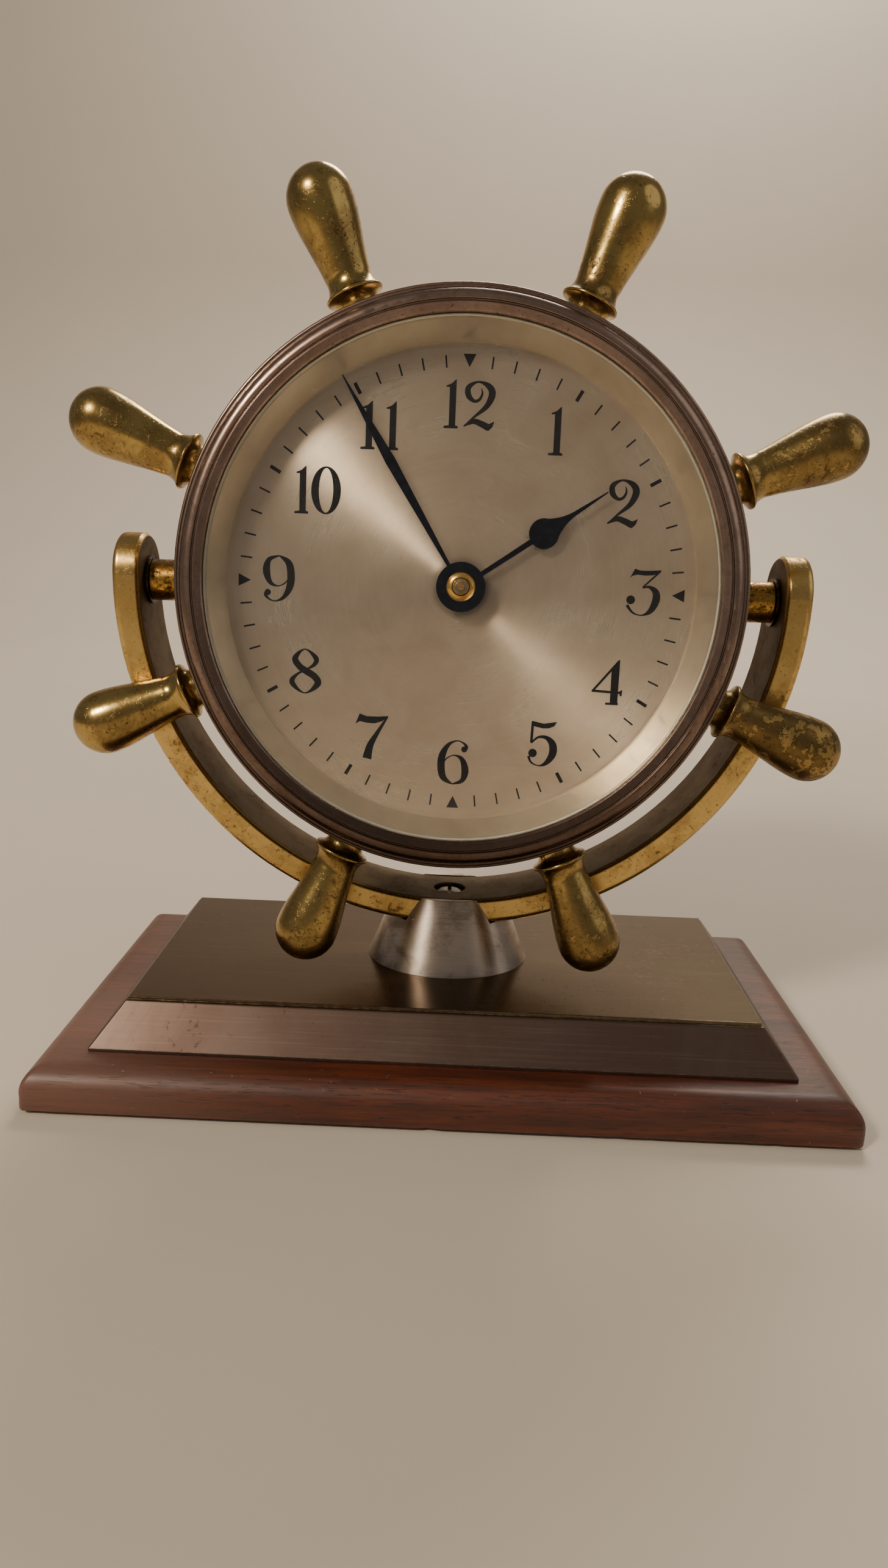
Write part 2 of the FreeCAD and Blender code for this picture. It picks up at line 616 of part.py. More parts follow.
def make_balance_cock():
    """Bridge on the rear plate that carries the balance's outer pivot."""
    top = BACK_PLATE_Z
    foot_at = step(BALANCE, 11.0, ESCAPE_DIR + 90)
    foot = disc(2.6, top - 4.8, top, foot_at)
    boss = disc(2.6, top - 4.8, top - 3.0, BALANCE)
    bar = moved(spun(block(0, 11.0, -2.0, 2.0, top - 4.8, top - 3.0), ESCAPE_DIR + 90), *BALANCE)
    holes = pivot_holes(top - 6, top + 1, [(foot_at, 1.0), (BALANCE, 0.45)])
    return fused(foot, boss, bar).cut(holes)


# ---- going train -----------------------------------------------------------------------------


def train_arbor(pinion_phase, pinion_z, wheel_teeth, wheel_z, at):
    """Arbor with its pinion and its crossed-out wheel."""
    wheel = gear(wheel_teeth, TRAIN_MODULE, wheel_z, wheel_z + 1.2)
    rim_r = TRAIN_MODULE * wheel_teeth / 2 - 2.0
    wheel = crossings(wheel, 3.0, rim_r, 5, wheel_z, wheel_z + 1.2)
    pinion = gear(TRAIN_PINION_T, TRAIN_MODULE, pinion_z, pinion_z + 2.0, pinion_phase)
    shaft = arbor(BACK_PLATE_Z + PLATE_T + 0.2, FRONT_PLATE_Z - 0.2)
    return moved(fused(wheel, pinion, shaft), *at)


GREAT_PHASE = 0.0
CENTRE_PINION_PHASE = meshed_phase(GREAT_T, GREAT_PHASE, CENTRE_PINION_T, BARREL_DIR + 180)
THIRD_PINION_PHASE = meshed_phase(TRAIN_WHEEL_T, 0.0, TRAIN_PINION_T, THIRD_DIR)
FOURTH_PINION_PHASE = meshed_phase(TRAIN_WHEEL_T, 0.0, TRAIN_PINION_T, FOURTH_DIR)
ESCAPE_PINION_PHASE = meshed_phase(FOURTH_T, 0.0, TRAIN_PINION_T, ESCAPE_DIR)


def make_barrel():
    """Mainspring barrel with the great wheel on its front edge."""
    shell = turned((3.65, -7.0), (19.0, -7.0), (19.0, 8.3), (3.65, 8.3), (3.65, 7.3), (17.8, 7.3),
                   (17.8, -6.0), (3.65, -6.0))
    wheel = gear(GREAT_T, GREAT_MODULE, 8.3, 10.0, GREAT_PHASE).cut(disc(16.5, 7, 11))
    return moved(fused(shell, wheel), *BARREL)


def make_mainspring():
    """Coiled mainspring strip, as an open spiral inside the barrel."""
    return moved(spiral_strip(5, 7.0, 16.5, 0.35, -5.2, 6.4), *BARREL)


def make_barrel_arbor():
    """Winding arbor: a hub for the spring, two pivots and a winding square at the rear."""
    hub = disc(3.6, -7.4, 8.7)
    front = disc(2.0, 8.7, FRONT_PLATE_Z + 1.6)
    rear = disc(2.5, BACK_PLATE_Z - 3.2, -7.4)
    square = block(-1.5, 1.5, -1.5, 1.5, CASE_BACK - COVER_T - 6, BACK_PLATE_Z - 3.2)
    return moved(fused(hub, front, rear, square), *BARREL)


def make_ratchet():
    """Saw-toothed ratchet wheel on the barrel arbor, behind the rear plate."""
    z0 = BACK_PLATE_Z - 2.2
    pitch = 360 / RATCHET_T
    corners = []
    for k in range(RATCHET_T):
        corners.append(V(*polar(RATCHET_R, pitch * k), z0))
        corners.append(V(*polar(RATCHET_R - 1.3, pitch * k + 1.0), z0))
    body = Part.Face(Part.makePolygon(corners + [corners[0]])).extrude(V(0, 0, 1.6))
    return moved(body.cut(disc(2.5, z0 - 1, z0 + 3)), *BARREL)


def make_click():
    """Click that drops into the ratchet, on its own stud."""
    z0 = BACK_PLATE_Z - 2.2
    nose = step(BARREL, RATCHET_R - 0.3, 62.0)
    heel = step(BARREL, RATCHET_R + 0.4, 66.0)
    near = step(CLICK, 2.4, 200.0)
    far = step(CLICK, 2.4, 20.0)
    arm = plate_from(z0, z0 + 1.6, nose, heel, far, near)
    body = fused(arm, disc(2.4, z0, z0 + 1.6, CLICK))
    return fused(body, disc(1.0, z0 + 1.6, BACK_PLATE_Z + PLATE_T, CLICK))


def make_click_spring():
    """Flat spring that holds the click down, pinned to the rear plate."""
    z0 = BACK_PLATE_Z - 1.6
    root = step(CLICK, 12.0, 150.0)
    tip = step(CLICK, 2.9, 110.0)
    along = math.degrees(math.atan2(tip[1] - root[1], tip[0] - root[0]))
    reach = math.hypot(tip[0] - root[0], tip[1] - root[1])
    leaf = moved(spun(block(0, reach, -0.2, 0.2, z0, z0 + 1.2), along), *root)
    return fused(leaf, disc(1.3, z0, BACK_PLATE_Z, root))


def make_winding_key():
    """Two-winged key that stays on the winding square."""
    z1 = CASE_BACK - COVER_T - 0.6
    hub = disc(4.0, z1 - 9.5, z1)
    wing = plate_from(-1.2, 1.2, (-11.5, -3.2), ((-13.5, 0), (-11.5, 3.2)), (0, 4.4), (11.5, 3.2),
                      ((13.5, 0), (11.5, -3.2)), (0, -4.4))
    wing.rotate(V(0, 0, 0), X_AXIS, 90)
    body = fused(hub, moved(wing, 0, 0, z1 - 6.5))
    return moved(body.cut(block(-1.5, 1.5, -1.5, 1.5, z1 - 6, z1 + 1)), *BARREL)


def make_centre_wheel():
    """Centre arbor with its pinion and wheel; its front end carries the hands."""
    wheel = gear(TRAIN_WHEEL_T, TRAIN_MODULE, 11.0, 12.2)
    wheel = crossings(wheel, 3.6, TRAIN_MODULE * TRAIN_WHEEL_T / 2 - 2.0, 5, 11.0, 12.2)
    pinion = gear(CENTRE_PINION_T, GREAT_MODULE, 7.9, 10.6, CENTRE_PINION_PHASE)
    shaft = fused(disc(1.2, BACK_PLATE_Z + PLATE_T + 0.2, 15.2), disc(0.8, BACK_PLATE_Z, -8),
                  disc(0.9, 15, 27.0))
    return fused(wheel, pinion, disc(2.4, 10.6, 11.0), shaft)


def make_third_wheel():
    """Third wheel, driven by the centre wheel."""
    return train_arbor(THIRD_PINION_PHASE, 10.6, TRAIN_WHEEL_T, 6.0, THIRD)


def make_fourth_wheel():
    """Fourth wheel, driven by the third."""
    return train_arbor(FOURTH_PINION_PHASE, 5.6, FOURTH_T, 1.0, FOURTH)


def make_escape_wheel():
    """Club-toothed escape wheel and its pinion."""
    z0 = -3.0
    corners = []
    for k in range(ESCAPE_T):
        start = 360 / ESCAPE_T * k
        corners.append(V(*polar(ESCAPE_R - 1.8, start - 9.0), z0))
        corners.append(V(*polar(ESCAPE_R, start), z0))
        corners.append(V(*polar(ESCAPE_R - 0.15, start + 2.0), z0))
        corners.append(V(*polar(ESCAPE_R - 1.8, start + 3.0), z0))
    wheel = Part.Face(Part.makePolygon(corners + [corners[0]])).extrude(V(0, 0, 0.8))
    wheel = crossings(wheel, 1.8, ESCAPE_R - 2.6, 4, z0, z0 + 0.8)
    pinion = gear(TRAIN_PINION_T, TRAIN_MODULE, 0.6, 2.6, ESCAPE_PINION_PHASE)
    shaft = arbor(BACK_PLATE_Z + PLATE_T + 0.2, FRONT_PLATE_Z - 0.2)
    return moved(fused(wheel, pinion, shaft), *ESCAPE)


def make_pallet_lever():
    """Lever with two pallets towards the escape wheel and a fork towards the balance."""
    z0 = -3.0
    arm = block(0, 7.4, -0.7, 0.7, z0, z0 + 0.8)
    fork = block(6.6, 9.6, -1.6, 1.6, z0, z0 + 0.8).cut(block(7.8, 10, -0.75, 0.75, z0 - 1, z0 + 2))
    reach = block(-2.6, 0, -4.9, 4.9, z0, z0 + 0.8)
    staff = arbor(BACK_PLATE_Z + PLATE_T + 0.2, FRONT_PLATE_Z - 0.2, 0.8, 0.4)
    body = fused(arm, fork, reach, staff)
    for side in (-1, 1):
        low, high = sorted((side * 4.1, side * 4.9))
        body = fused(body, block(-4.1, -2.0, low, high, z0, z0 + 0.8))
    return moved(spun(body, ESCAPE_DIR), *LEVER)


def make_balance_wheel():
    """Balance rim on two arms, with its staff, roller and impulse pin."""
    z0 = -7.6
    rim = ring(10.4, 9.0, z0, z0 + 1.4)
    bar = block(-9.6, 9.6, -0.9, 0.9, z0, z0 + 1.0)
    rear = BACK_PLATE_Z - 2.8
    staff = fused(disc(1.0, rear, 12.8), disc(0.4, rear - 1.8, rear), disc(0.4, 12.8, 14.6))
    roller = disc(2.6, -5.2, -4.4)
    pin = disc(0.4, -4.6, -2.1, (-2.0, 0))
    balance = fused(rim, bar, disc(2.2, z0, z0 + 1.4), staff, roller, pin)
    return moved(spun(balance, ESCAPE_DIR), *BALANCE)


def make_hairspring():
    """Flat spiral spring on the balance staff, outside the rear plate's opening."""
    z0 = BACK_PLATE_Z - 1.4
    spring = spiral_strip(5, 1.6, 6.6, 0.16, z0, z0 + 0.5)
    collet = ring(1.75, 1.0, z0, z0 + 0.5)
    return moved(fused(collet, spring), *BALANCE)


# ---- motion work, hands and setting ----------------------------------------------------------

CANNON_MODULE = 2 * MOTION_DISTANCE / (CANNON_T + MINUTE_T)
HOUR_MODULE = 2 * MOTION_DISTANCE / (MINUTE_PINION_T + HOUR_T)
MINUTE_PHASE = meshed_phase(CANNON_T, 0.0, MINUTE_T, MINUTE_DIR)
SET_PHASE = meshed_phase(MINUTE_T, MINUTE_PHASE, CANNON_T, SET_DIR)
HOUR_PHASE = meshed_phase(MINUTE_PINION_T, 0.0, HOUR_T, MINUTE_DIR + 180)
MINUTE_ANGLE = -6.0 * (TIME_MINUTES % 60)
HOUR_ANGLE = -0.5 * TIME_MINUTES + HOUR_HAND_SET


def make_cannon_pinion():
    """Cannon pinion: a pipe that slips on the centre arbor and carries the minute hand."""
    body = fused(gear(CANNON_T, CANNON_MODULE, 15.6, 17.2), disc(1.75, 15.6, 24.2),
                 disc(1.35, 24.0, 26.6))
    return body.cut(disc(0.95, 15, 28))


def make_minute_wheel():
    """Minute wheel and pinion on a stub in the front plate."""
    wheel = gear(MINUTE_T, CANNON_MODULE, 15.8, 17.0, MINUTE_PHASE)
    pinion = gear(MINUTE_PINION_T, HOUR_MODULE, 17.0, 18.9)
    return moved(fused(wheel, pinion, disc(0.7, 13.2, 15.8)), *MINUTE_ARBOR)


def make_hour_wheel():
    """Hour wheel and its pipe, running on the cannon pinion."""
    wheel = gear(HOUR_T, HOUR_MODULE, 17.5, 18.7, HOUR_PHASE)
    return fused(wheel, disc(3.1, 18.7, 22.6)).cut(disc(1.8, 17, 24))


def make_hour_hand():
    """Spade hour hand with a round bulb and a needle point."""
    low, high = 21.9, 22.4
    bulb_r, bulb_at, tip_at = 3.6, 23.5, 41.4
    hub = disc(5.6, low, high)
    stem = plate_from(low, high, (-0.55, 4), (0.55, 4), (0.7, bulb_at), (-0.7, bulb_at))
    bulb = disc(bulb_r, low, high, (0, bulb_at))
    point = plate_from(low, high, (-2.6, bulb_at + 2.4), (2.6, bulb_at + 2.4),
                       ((1.15, bulb_at + 5.4), (0.5, bulb_at + 9.4)), (0.14, tip_at), (-0.14, tip_at),
                       (-0.5, bulb_at + 9.4), ((-1.15, bulb_at + 5.4), (-2.6, bulb_at + 2.4)))
    return spun(fused(hub, stem, bulb, point).cut(disc(3.1, low - 1, high + 1)), HOUR_ANGLE)


def make_minute_hand():
    """Feather minute hand on a round hub."""
    low, high = 24.2, 24.7
    hub = disc(5.9, low, high)
    blade = plate_from(low, high, (-0.4, 4), (0.4, 4), (1.25, 33.7), (0.12, 55.9), (-0.12, 55.9),
                       (-1.25, 33.7))
    return spun(fused(hub, blade).cut(disc(1.35, low - 1, high + 1)), MINUTE_ANGLE)


def make_hand_nut():
    """Stepped brass nut that holds the minute hand on its pipe."""
    return turned((1.35, 24.7), (3.5, 24.7), (3.5, 25.2), ((2.95, 25.8), (2.15, 26.1)),
                  (2.15, 25.8), (1.95, 25.8), (1.9, 26.5), (1.35, 26.5))


def make_set_arbor():
    """Setting arbor: a pinion at the minute wheel, run out through the rear cover."""
    pinion = gear(CANNON_T, CANNON_MODULE, 15.6, 17.2, SET_PHASE)
    return moved(fused(pinion, disc(1.0, CASE_BACK - COVER_T - 7, 15.6)), *SET_ARBOR)


def make_set_knob():
    """Fluted setting knob on the rear."""
    z1 = CASE_BACK - COVER_T - 0.6
    body = turned((0, z1 - 8), (5.0, z1 - 8), (5.6, z1 - 7.4), (5.6, z1 - 2.5), (3.0, z1 - 1.6),
                  (3.0, z1), (0, z1))
    flutes = [disc(0.5, z1 - 9, z1 - 2, polar(5.8, 20 * k)) for k in range(18)]
    return moved(body.cut(Part.makeCompound(flutes)).cut(disc(1.0, z1 - 6.6, z1 + 1)), *SET_ARBOR)


# ---- all pieces ------------------------------------------------------------------------------

BASE_PIECES = {
    "felt_pad": make_felt_pad,
    "wood_base": make_wood_base,
    "base_plate": make_base_plate,
    "plate_screws": make_plate_screws,
    "pedestal": make_pedestal,
    "pedestal_bolt": make_pedestal_bolt,
    "pedestal_washer": lambda: ring(8.0, 3.2, WOOD_Z + 3.8, WOOD_Z + 5.0),
    "yoke": make_yoke,
    "yoke_screw": lambda: moved(screw(2.45, 4.1, 2.0, 6.4, 0.9), 0, 0, PIVOT_Z - YOKE_RI - 2.6),
    "friction_washers": make_friction_washers,
}

HEAD_PIECES = {
    "pivot_screws": make_pivot_screws,
    "trunnions": make_trunnions,
    "case_drum": make_case_drum,
    "bezel": make_bezel,
    "glass": make_glass,
    "glass_ring": make_glass_ring,
    "reflector_ring": make_reflector,
    "dial_plate": make_dial_plate,
    "dial_marks": make_dial_marks,
    "back_cover": make_back_cover,
    "cover_screws": make_cover_screws,
    "front_plate": make_front_plate,
    "back_plate": make_back_plate,
    "pillars": make_pillars,
    "pillar_screws": make_pillar_screws,
    "movement_screws": make_movement_screws,
    "balance_cock": make_balance_cock,
    "mainspring": make_mainspring,
    "click_spring": make_click_spring,
    "barrel": make_barrel,
    "barrel_arbor": make_barrel_arbor,
    "ratchet_wheel": make_ratchet,
    "click": make_click,
    "winding_key": make_winding_key,
    "centre_wheel": make_centre_wheel,
    "third_wheel": make_third_wheel,
    "fourth_wheel": make_fourth_wheel,
    "escape_wheel": make_escape_wheel,
    "pallet_lever": make_pallet_lever,
    "balance_wheel": make_balance_wheel,
    "hairspring": make_hairspring,
    "cannon_pinion": make_cannon_pinion,
    "minute_wheel": make_minute_wheel,
    "hour_wheel": make_hour_wheel,
    "hour_hand": make_hour_hand,
    "minute_hand": make_minute_hand,
    "hand_nut": make_hand_nut,
    "set_arbor": make_set_arbor,
    "set_knob": make_set_knob,
}

os.makedirs("parts", exist_ok=True)
for name, make in BASE_PIECES.items():
    make().exportStep("parts/" + name + ".step")
for name, make in HEAD_PIECES.items():
    piece = make()
    piece.Placement = HEAD.multiply(piece.Placement)
    piece.exportStep("parts/" + name + ".step")
for number in range(SPOKE_COUNT):
    piece = make_spoke(number)
    piece.Placement = HEAD.multiply(piece.Placement)
    piece.exportStep("parts/spoke_%d.step" % (number + 1))
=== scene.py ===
import math

import bmesh
import bpy
from mathutils import Matrix, Vector, noise
from mathutils.geometry import delaunay_2d_cdt


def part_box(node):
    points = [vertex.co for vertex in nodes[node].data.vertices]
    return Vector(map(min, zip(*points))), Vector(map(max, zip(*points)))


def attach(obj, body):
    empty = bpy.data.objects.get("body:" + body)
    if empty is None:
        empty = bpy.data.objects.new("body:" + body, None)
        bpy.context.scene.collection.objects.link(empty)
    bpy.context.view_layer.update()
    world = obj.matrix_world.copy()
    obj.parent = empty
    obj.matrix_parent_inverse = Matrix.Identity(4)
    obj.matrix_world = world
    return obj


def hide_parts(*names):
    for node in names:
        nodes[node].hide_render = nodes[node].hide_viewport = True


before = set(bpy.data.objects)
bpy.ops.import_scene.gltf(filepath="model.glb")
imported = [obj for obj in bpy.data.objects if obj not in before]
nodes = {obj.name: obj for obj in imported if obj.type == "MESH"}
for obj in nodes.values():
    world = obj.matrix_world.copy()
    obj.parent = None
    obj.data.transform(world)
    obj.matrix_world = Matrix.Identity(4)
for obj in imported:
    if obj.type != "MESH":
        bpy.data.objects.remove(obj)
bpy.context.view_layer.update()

# ---------------------------------------------------------------------------------------------
# Sizes and places, in metres
# ---------------------------------------------------------------------------------------------
MM = 0.001

# The head leans back about its pivot. Its own frame has x to the right, y up the dial, z out of it.
HEAD_LEAN = math.radians(5.0)
PIVOT_Z = 124.5 * MM
HEAD = Matrix.Translation((0, 0, PIVOT_Z)) @ Matrix.Rotation(math.pi / 2 - HEAD_LEAN, 4, "X")

DIAL_FACE = 20.0 * MM
DIAL_THICKNESS = 0.8 * MM
DIAL_RADIUS = 58.6 * MM
DIAL_HOLE_RADIUS = 4.6 * MM

NUMERAL_HEIGHT = 11.2 * MM
NUMERAL_RELIEF = 0.05 * MM
NUMERAL_LIFT = 0.002 * MM

# The painted shade on the yoke's inner face ends within the fade outside this radius.
YOKE_INNER_RADIUS = 82.0 * MM
YOKE_INNER_FADE = 0.5 * MM


def srgb(red, green, blue):
    """A colour given as 0-255 screen values, as Blender's linear colour."""
    linear = []
    for value in (red, green, blue):
        share = value / 255
        linear.append(share / 12.92 if share <= 0.04045 else ((share + 0.055) / 1.055) ** 2.4)
    return (*linear, 1.0)


# ---------------------------------------------------------------------------------------------
# Materials: a short vocabulary of procedural patterns
# ---------------------------------------------------------------------------------------------
class Look:
    """A material in the making. Each call adds the nodes of one pattern and returns its output."""

    def __init__(self, name, values):
        self.material = bpy.data.materials.new(name)
        self.material.use_nodes = True
        self.tree = self.material.node_tree
        self.shader = self.tree.nodes["Principled BSDF"]
        for socket, value in values.items():
            self.shader.inputs[socket].default_value = value
        self.place = self.add("TexCoord").outputs["Object"]

    def add(self, kind, inputs=None, **settings):
        """A node of that kind, with its settings and with values or outputs for its inputs."""
        node = self.tree.nodes.new("ShaderNode" + kind)
        for name, value in settings.items():
            setattr(node, name, value)
        for name, value in (inputs or {}).items():
            self.feed(node.inputs[name], value)
        return node

    def feed(self, socket, value):
        """Links an output to the socket, or sets the socket to a plain value."""
        if isinstance(value, bpy.types.NodeSocket):
            self.tree.links.new(value, socket)
        else:
            socket.default_value = value

    def set(self, name, value):
        """Feeds one of the shader's own sockets."""
        self.feed(self.shader.inputs[name], value)

    def math(self, operation, first, second=0.0, clamp=False):
        """One step of arithmetic on two values."""
        inputs = {0: first, 1: second}
        return self.add("Math", inputs, operation=operation, use_clamp=clamp).outputs[0]

    def total(self, *shares):
        """The sum of (output, weight) pairs."""
        result = 0.0
        for value, weight in shares:
            result = self.math("ADD", result, self.math("MULTIPLY", value, weight))
        return result

    def step(self, value, low, high):
        """0 below low, 1 above high, and smooth between them."""
        inputs = {"Value": value, "From Min": low, "From Max": high}
        return self.add("MapRange", inputs, interpolation_type="SMOOTHSTEP").outputs["Result"]

    def cover(self, value, share, soft=0.05):
        """1 over about that share of the surface, where a noise of middle 0.5 is highest."""
        middle = 0.5 + 0.3 * (0.5 - share)
        return self.step(value, middle - soft, middle + soft)

    def spread(self, value, low, high):
        """0 to 1 turned into low to high."""
        inputs = {"Value": value, "To Min": low, "To Max": high}
        return self.add("MapRange", inputs).outputs["Result"]

    def mix(self, share, first, second):
        """The first colour where share is 0, the second where it is 1."""
        node = self.add("Mix", {0: share, 6: first, 7: second}, data_type="RGBA")
        return node.outputs[2]

    def scaled(self, place, factors):
        """A place multiplied along each axis."""
        inputs = {0: place, 1: factors}
        return self.add("VectorMath", inputs, operation="MULTIPLY").outputs[0]

    def noise(self, scale, detail=4.0, roughness=0.55, distortion=0.0, place=None):
        """A cloudy pattern between 0 and 1, at the object's own place unless one is given."""
        inputs = {
            "Vector": self.place if place is None else place,
            "Scale": scale,
            "Detail": detail,
            "Roughness": roughness,
            "Distortion": distortion,
        }
        return self.add("TexNoise", inputs).outputs["Fac"]

    def parts(self, place):
        """The x, y and z of a place."""
        return self.add("SeparateXYZ", {0: place}).outputs

    def head_place(self):
        """The place with the head's lean taken out, so that the dial's axis runs along Y."""
        inputs = {"Vector": self.place, "Center": (0, 0, PIVOT_Z), "Angle": HEAD_LEAN}
        return self.add("VectorRotate", inputs, rotation_type="X_AXIS").outputs[0]

    def around(self, place, axis, centre):
        """(distance from an axis through centre, the direction away from it)."""
        offset = self.add("VectorMath", {0: place, 1: centre}, operation="SUBTRACT").outputs[0]
        flat = self.scaled(offset, [0.0 if i == axis else 1.0 for i in range(3)])
        length = self.add("VectorMath", {0: flat}, operation="LENGTH").outputs["Value"]
        direction = self.add("VectorMath", {0: flat}, operation="NORMALIZE").outputs[0]
        return length, direction

    def turned(self, place, axis, centre, rings, arcs):
        """A place for lathe marks: rings fine across an axis, and slow changes around it."""
        distance, direction = self.around(place, axis, centre)
        depth = self.parts(place)[axis]
        along = self.math("MULTIPLY", self.math("ADD", distance, depth), rings)
        around = self.parts(self.scaled(direction, (arcs, arcs, arcs)))
        flat = [around[i] for i in range(3) if i != axis]
        inputs = {0: flat[0], 1: flat[1], 2: along}
        return self.add("CombineXYZ", inputs).outputs[0]

    def soft_normal(self, radius):
        """The normal with edges rounded to that radius."""
        return self.add("Bevel", {"Radius": radius}, samples=6).outputs[0]

    def source(self, name):
        """The output that feeds one of the shader's sockets."""
        return self.shader.inputs[name].links[0].from_socket

    def edges(self, radius, low=0.02, high=0.16):
        """1 along sharp edges, 0 elsewhere."""
        inputs = {0: self.soft_normal(radius), 1: self.add("NewGeometry").outputs["Normal"]}
        alike = self.add("VectorMath", inputs, operation="DOT_PRODUCT").outputs["Value"]
        return self.step(self.math("SUBTRACT", 1.0, alike), low, high)

    def corners(self, distance, low=0.25, high=0.75):
        """1 in recesses, where dirt stays and where shade is painted, and 0 in the open."""
        node = self.add("AmbientOcclusion", {"Distance": distance}, samples=6, only_local=False)
        return self.step(self.math("SUBTRACT", 1.0, node.outputs["AO"]), low, high)

    def relief(self, height, depth, edge_radius=0.0):
        """Bump of that depth in metres, on the surface or on rounded edges."""
        inputs = {"Height": height, "Distance": depth, "Strength": 1.0}
        if edge_radius:
            inputs["Normal"] = self.soft_normal(edge_radius)
        self.set("Normal", self.add("Bump", inputs).outputs[0])


def aged_metal(name, clean, dull, spot, gloss, cover, spots, pits, wear=0.5, edge=0.3 * MM,
               more=None, depth=0.03 * MM):
    """Bare metal with broad dull clouds, dark spots, fine pits, dirt and painted shade in recesses and
    rubbed edges.

    gloss is the roughness where it is clean and where it is dull. cover, spots and pits are how
    much of the surface is dull, spotted and pitted, from 0 to 1. more is a function that takes
    the look and returns a pattern, which adds to all three. depth is that of the bumps.
    """
    look = Look(name, {"Metallic": 1.0})
    extra = 0.0 if more is None else more(look)
    broad = look.noise(95.0, 6.0, 0.62, 0.15)
    fine = look.noise(900.0, 4.0, 0.65)
    patches = look.total((broad, 0.72), (fine, 0.28), (extra, 0.05))
    haze = look.cover(patches, cover, 0.10)
    speckle = look.total((look.noise(330.0, 6.0, 0.72, 0.9), 0.65), (broad, 0.35), (extra, 0.06))
    stain = look.cover(speckle, spots, 0.03)
    pitting = look.total((look.noise(1300.0, 3.0, 0.6), 0.8), (patches, 0.2), (extra, 0.05))
    pit = look.cover(pitting, pits, 0.03)

    colour = look.mix(haze, clean, dull)
    colour = look.mix(look.math("MULTIPLY", stain, 0.75), colour, spot)
    colour = look.mix(look.math("MULTIPLY", pit, 0.6), colour, spot)
    rubbed = look.math("MULTIPLY", look.edges(edge), look.step(fine, 0.35, 0.6))
    colour = look.mix(look.math("MULTIPLY", rubbed, wear), colour, clean)
    # Recesses darken to the spot colour: dirt there, and painted shade.
    colour = look.mix(look.math("MULTIPLY", look.corners(3.5 * MM), 0.85), colour, spot)
    look.set("Base Color", colour)

    rough = look.spread(haze, gloss[0], gloss[1])
    smear = look.noise(260.0, 3.0, 0.6, 1.5)
    rough = look.total((rough, 1.0), (stain, 0.16), (pit, 0.12), (smear, 0.14), (-0.07, 1.0))
    look.set("Roughness", look.math("MAXIMUM", rough, 0.08))

    height = look.total((fine, 0.12), (look.math("ADD", pit, stain), -0.55), (broad, 0.4))
    look.relief(height, depth, edge)
    return look


def towards(low, high, weights):
    """A pattern that grows along a direction: 0 at low and 1 at high."""

    def pattern(look):
        x, y, z = look.parts(look.place)
        return look.step(look.total((x, weights[0]), (y, weights[1]), (z, weights[2])), low, high)

    return pattern


def yoke_inside(look):
    """1 on the yoke's inner face and the drum side of its arms."""
    x, _, z = look.parts(look.place)
    drop = look.math("MINIMUM", look.math("SUBTRACT", z, PIVOT_Z), 0.0)
    squares = look.math("ADD", look.math("MULTIPLY", x, x), look.math("MULTIPLY", drop, drop))
    distance = look.math("SQRT", squares)
    outside = look.step(distance, YOKE_INNER_RADIUS, YOKE_INNER_RADIUS + YOKE_INNER_FADE)
    return look.math("SUBTRACT", 1.0, outside)


def spoke_brass():
    """Handles cast in brass; on one side of the wheel the old lacquer has flaked off in scabs."""
    look = aged_metal(
        "spoke_brass_aged", srgb(190, 162, 98), srgb(150, 124, 76), srgb(50, 38, 24),
        gloss=(0.18, 0.27), cover=0.5, spots=0.15, pits=0.12, wear=0.6,
        more=towards(0.0, 0.10, (1.0, 0.0, -0.5)),
    )
    flaking = towards(-0.01, 0.06, (1.0, 0.0, -0.35))(look)
    colour = look.mix(look.math("MULTIPLY", flaking, 0.75), look.source("Base Color"),
                      srgb(96, 74, 46))
    scabs = look.total((look.noise(260.0, 7.0, 0.7, 0.2), 1.0), (flaking, 0.10))
    scab = look.step(scabs, 0.60, 0.615)
    rim = look.math("MULTIPLY", look.step(scabs, 0.585, 0.60),
                    look.math("SUBTRACT", 1.0, look.step(scabs, 0.61, 0.63)))
    colour = look.mix(look.math("MULTIPLY", scab, 0.55), colour, srgb(196, 164, 100))
    look.set("Base Color", look.mix(look.math("MULTIPLY", rim, 0.6), colour, srgb(48, 34, 18)))
    look.set("Roughness", look.total((look.source("Roughness"), 1.0), (flaking, 0.13), (scab, 0.06)))
    return look


def yoke_brass():
    """Worn yellow brass, duller on the inner face and darkened there as painted shade."""
    look = aged_metal(
        "yoke_brass_aged", srgb(214, 182, 114), srgb(192, 158, 96), srgb(122, 88, 50),
        gloss=(0.22, 0.32), cover=0.45, spots=0.16, pits=0.1, wear=0.8, edge=0.5 * MM,
    )
    inside = yoke_inside(look)
    # Painted shade on the inner face, which is also made duller.
    look.set("Base Color", look.mix(look.math("MULTIPLY", inside, 0.85),
                                    look.source("Base Color"), srgb(74, 50, 26)))
    look.set("Roughness", look.total((look.source("Roughness"), 1.0), (inside, 0.35)))
    look.set("Metallic", look.spread(inside, 1.0, 0.35))
    return look


def fitting_brass(name, clean, dull):
    """Spotted old brass for small turned fittings."""
    return aged_metal(
        name, clean, dull, srgb(48, 34, 22), gloss=(0.24, 0.4), cover=0.55, spots=0.4, pits=0.35,
    )


def lathe_marks(look, place, axis, centre, rings=5200.0, arcs=1.2):
    """Fine streaks round an axis."""
    return look.noise(1.0, 3.0, 0.7, place=look.turned(place, axis, centre, rings, arcs))


